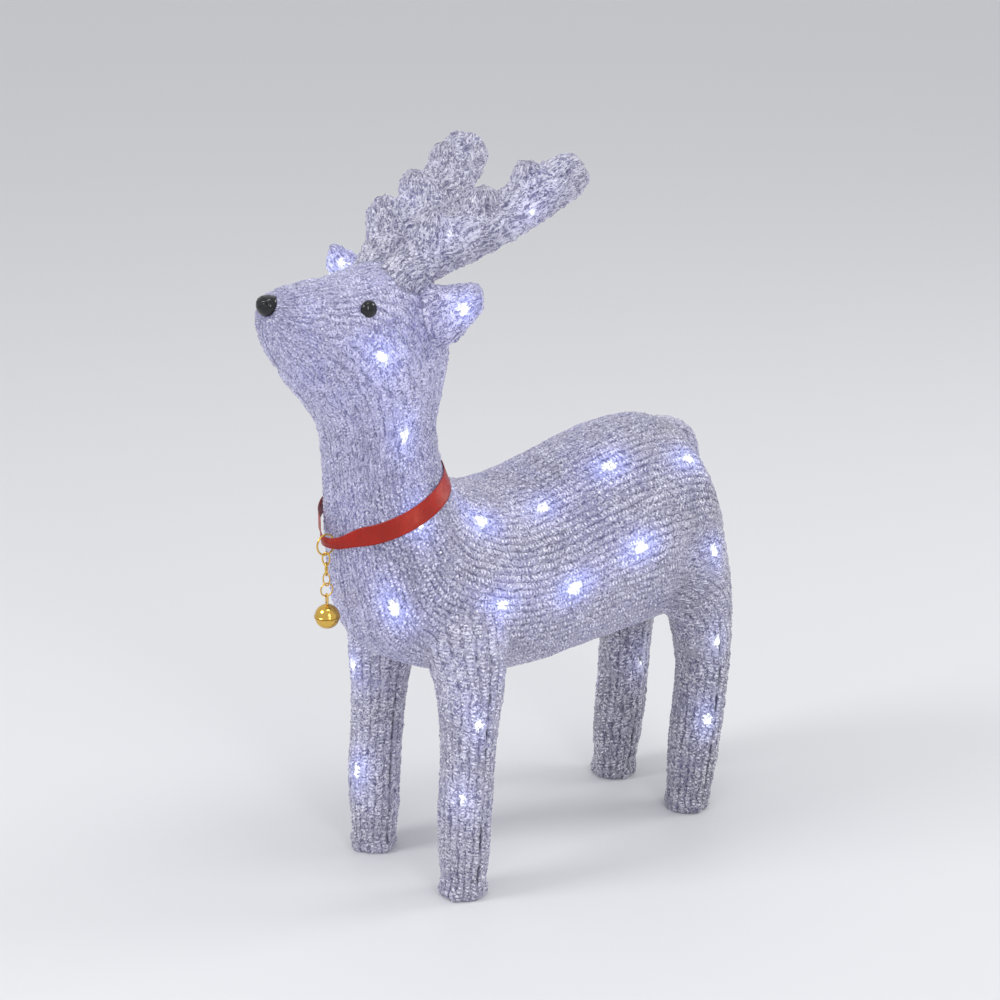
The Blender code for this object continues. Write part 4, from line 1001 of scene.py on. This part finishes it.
def ribbon(satin):
    """The collar: one strip round the neck, held at the front by the ring, with its selvedges and a soft fold where it gathers."""
    g = body_grid(6, 96)
    v, f = capped(g)
    tree = BVHTree.FromPolygons([tuple(p) for p in v], f)
    def hit(o, d):
        at = tree.ray_cast(Vector(o), Vector(d).normalized())[0]
        return np.array(at)
    back, front = np.array([0, *RIBBON_BACK], float), np.array([0, *RIBBON_FRONT], float)
    middle = (back + front) / 2
    ahead = (front - back) / np.linalg.norm(front - back)
    across = np.array([1.0, 0, 0])
    upward = np.cross(across, ahead)
    if upward[2] < 0:
        upward = -upward
    N, M = 264, 14
    grid = np.zeros((N, M, 3))
    outs, edge = np.zeros((N, 3)), np.linspace(-1, 1, M)
    lift = np.zeros((N, M))
    mids, rises, widths, nears = [], [], [], []
    for i in range(N):
        a = TAU * i / N
        d = ahead * math.cos(a) + across * math.sin(a)
        hi_, lo_, mid = hit(middle + upward * 4, d), hit(middle - upward * 4, d), hit(middle, d)
        rise = (hi_ - lo_) / np.linalg.norm(hi_ - lo_)
        near = max(0.0, 1 - abs(math.atan2(math.sin(a), math.cos(a))) / 0.62)
        near = near * near * (3 - 2 * near)
        rise = rise * (1 - near) + np.array([0, 0, 1.0]) * near
        rise /= np.linalg.norm(rise)
        reach = (front - mid) @ d
        turn = math.atan2(math.sin(a), math.cos(a))
        loose = 2.2 * math.exp(-((turn + 0.75) / 0.4) ** 2)     # it stands off the neck on the far side, next to the ring
        mid = mid + d * (1.25 + loose * (1 - near) + max(reach - 1.25, 0) * near)
        mid = mid + np.array([0, 0, front[2] - mid[2]]) * (near ** 3)
        mids.append(mid); rises.append(rise); nears.append(near)
        widths.append((RIBBON_W * (1 - near) + RIBBON_W_FRONT * near) / 2)
        outs[i] = d - rise * (d @ rise)
        outs[i] /= np.linalg.norm(outs[i])
    mids, rises, widths, nears = (np.array(x) for x in (mids, rises, widths, nears))
    for _ in range(6):
        mids = (np.roll(mids, 1, 0) + 2 * mids + np.roll(mids, -1, 0)) / 4
        rises = (np.roll(rises, 1, 0) + 2 * rises + np.roll(rises, -1, 0)) / 4
    ang = TAU * np.arange(N) / N
    wave = 0.35 * np.sin(3 * ang + 0.6) + 0.22 * np.sin(7 * ang + 2.1) + 0.1 * np.sin(17 * ang)
    for j, e in enumerate(edge):
        sag = 0.22 * np.cos(ang * 5 + e) * e
        crease = nears * (0.3 * np.cos(e * 3.1) + 0.12)
        off = 0.15 + 0.12 * wave * (1 - nears) + sag * 0.4 * (1 - nears) + crease
        grid[:, j] = mids + rises * (widths * e)[:, None] + outs * off[:, None]
    t = 0.16
    thick = np.where(np.abs(edge) > 0.93, t * 1.5, t)
    outer = grid + outs[:, None] * thick[None, :, None]
    inner = grid - outs[:, None] * (thick * 0.2)[None, :, None]
    loop = np.concatenate([outer, inner[:, ::-1]], 1)
    m = 2 * M
    f = [(i * m + j, i * m + (j + 1) % m, (i + 1) % N * m + (j + 1) % m, (i + 1) % N * m + j) for i in range(N) for j in range(m)]
    ob = outward(make("ribbon", loop.reshape(-1, 3), f))
    uv = ob.data.attributes.new("warp", "FLOAT", "POINT")
    length = float(np.linalg.norm(np.roll(mids, -1, 0) - mids, axis=1).sum())
    e2 = np.concatenate([edge, edge[::-1]])
    uv.data.foreach_set("value", np.tile(e2, N).astype(np.float32))
    ob.data.materials.append(satin)
    finish_piece(ob, "root", "ribbon_collar")
    return length

def satin_material():
    m, t, b = nodes_of("red_satin")
    n = Net(t)
    co = n.new("ShaderNodeTexCoord").outputs["Object"]
    e = n.attr("warp")
    lines = n.new("ShaderNodeTexWave", wave_type="BANDS")
    mp = n.new("ShaderNodeCombineXYZ")
    n.put(mp.inputs[0], e)
    n.put(lines.inputs["Vector"], mp.outputs[0])
    lines.inputs["Scale"].default_value = 9.0
    lines.inputs["Distortion"].default_value = 0.0
    slub = n.tex("ShaderNodeTexNoise", co, 260, Detail=4.0).outputs[0]
    broad = n.tex("ShaderNodeTexNoise", co, 40, Detail=2.0).outputs[0]
    rib = n.ramp(n.math("ABSOLUTE", e), 0.86, 0.95)
    base = n.mix(n.ramp(broad, 0.35, 0.65), (0.27, 0.002, 0.004), (0.38, 0.005, 0.006))
    base = n.mix(n.math("MULTIPLY", lines.outputs["Fac"], 0.25), base, (0.46, 0.012, 0.010))
    base = n.mix(n.math("MULTIPLY", n.ramp(slub, 0.45, 0.7), 0.35), base, (0.20, 0.002, 0.004))
    base = n.mix(n.math("MULTIPLY", rib, 0.5), base, (0.27, 0.004, 0.007))
    n.put(b.inputs["Base Color"], base)
    n.put(b.inputs["Roughness"], n.ramp(slub, 0.3, 0.7, 0.22, 0.34))
    b.inputs["Sheen Weight"].default_value = 0.08
    b.inputs["Sheen Roughness"].default_value = 0.3
    b.inputs["Sheen Tint"].default_value = (1.0, 0.32, 0.16, 1)
    b.inputs["Anisotropic"].default_value = 0.5
    b.inputs["Specular IOR Level"].default_value = 0.8
    b.inputs["Specular Tint"].default_value = (1.0, 0.55, 0.38, 1)
    bp = n.new("ShaderNodeBump")
    bp.inputs["Strength"].default_value, bp.inputs["Distance"].default_value = 0.35, 0.0002
    n.put(bp.inputs["Height"], n.math("MULTIPLY_ADD", lines.outputs["Fac"], 0.6, slub))
    n.put(b.inputs["Normal"], bp.outputs[0])
    return m

def led_lens():
    m, t, b = nodes_of("led_lens")
    n = Net(t)
    co = n.new("ShaderNodeTexCoord").outputs["Object"]
    k = n.tex("ShaderNodeTexNoise", co, 900, Detail=2.0).outputs[0]
    n.put(b.inputs["Base Color"], n.mix(k, (0.75, 0.82, 1.0), (0.95, 0.97, 1.0)))
    n.put(b.inputs["Emission Color"], n.mix(k, (0.62, 0.72, 1.0), (0.92, 0.95, 1.0)))
    n.put(b.inputs["Emission Strength"], n.ramp(k, 0.3, 0.7, 4.0, 9.0))
    n.put(b.inputs["Roughness"], n.ramp(k, 0.3, 0.7, 0.08, 0.2))
    return m

build_camera()
build_stage()
MAT = acrylic("strand_acrylic")
shells = build_shells()
for name, ob in shells.items():
    ob.data.materials.append(MAT)
    finish_piece(ob, "root", name)
    wall = ob.modifiers.new("wall", "SOLIDIFY")
    wall.thickness, wall.offset, wall.use_even_offset = 0.0018, -1, False

GOLD_M = plain("polished_gold", (0.66, 0.40, 0.07), (0.84, 0.56, 0.14), 700, (0.06, 0.20), metallic=1.0, bump=0.10, distance=0.00006, stretch=(1, 1, 3))[0]
STEEL = plain("steel_ball", (0.50, 0.50, 0.52), (0.72, 0.72, 0.74), 900, (0.12, 0.3), metallic=1.0)[0]
BLACK = plain("black_gloss", (0.004, 0.004, 0.005), (0.014, 0.014, 0.016), 500, (0.03, 0.10), bump=0.25, distance=0.00012, coat=0.2)[0]
BLACK.node_tree.nodes["Principled BSDF"].inputs["Specular IOR Level"].default_value = 0.36
RUBBER = plain("grommet_rubber", (0.62, 0.62, 0.66), (0.78, 0.78, 0.82), 400, (0.4, 0.6), bump=0.3)[0]
LEAD = plain("clear_lead", (0.58, 0.60, 0.66), (0.78, 0.80, 0.86), 300, (0.18, 0.35), bump=0.2)[0]
hardware(GOLD_M, STEEL)
face_features(BLACK)
light_strings([LEAD, led_lens()])
ribbon(satin_material())
gp = [(1.6, -1.45), (1.75, -1.6), (4.6, -1.6), (4.95, -1.45), (5.0, -1.2), (4.9, -0.65), (4.4, -0.42), (3.15, -0.25), (3.0, -0.1), (2.95, 0.6), (3.0, 3.3),
      (2.85, 3.55), (1.8, 3.6), (1.6, 3.4), (1.55, 1.0)]
piece("grommet", *turned(gp, 64, GROMMET), RUBBER, "root", "lead_grommet", "grommet_rubber")
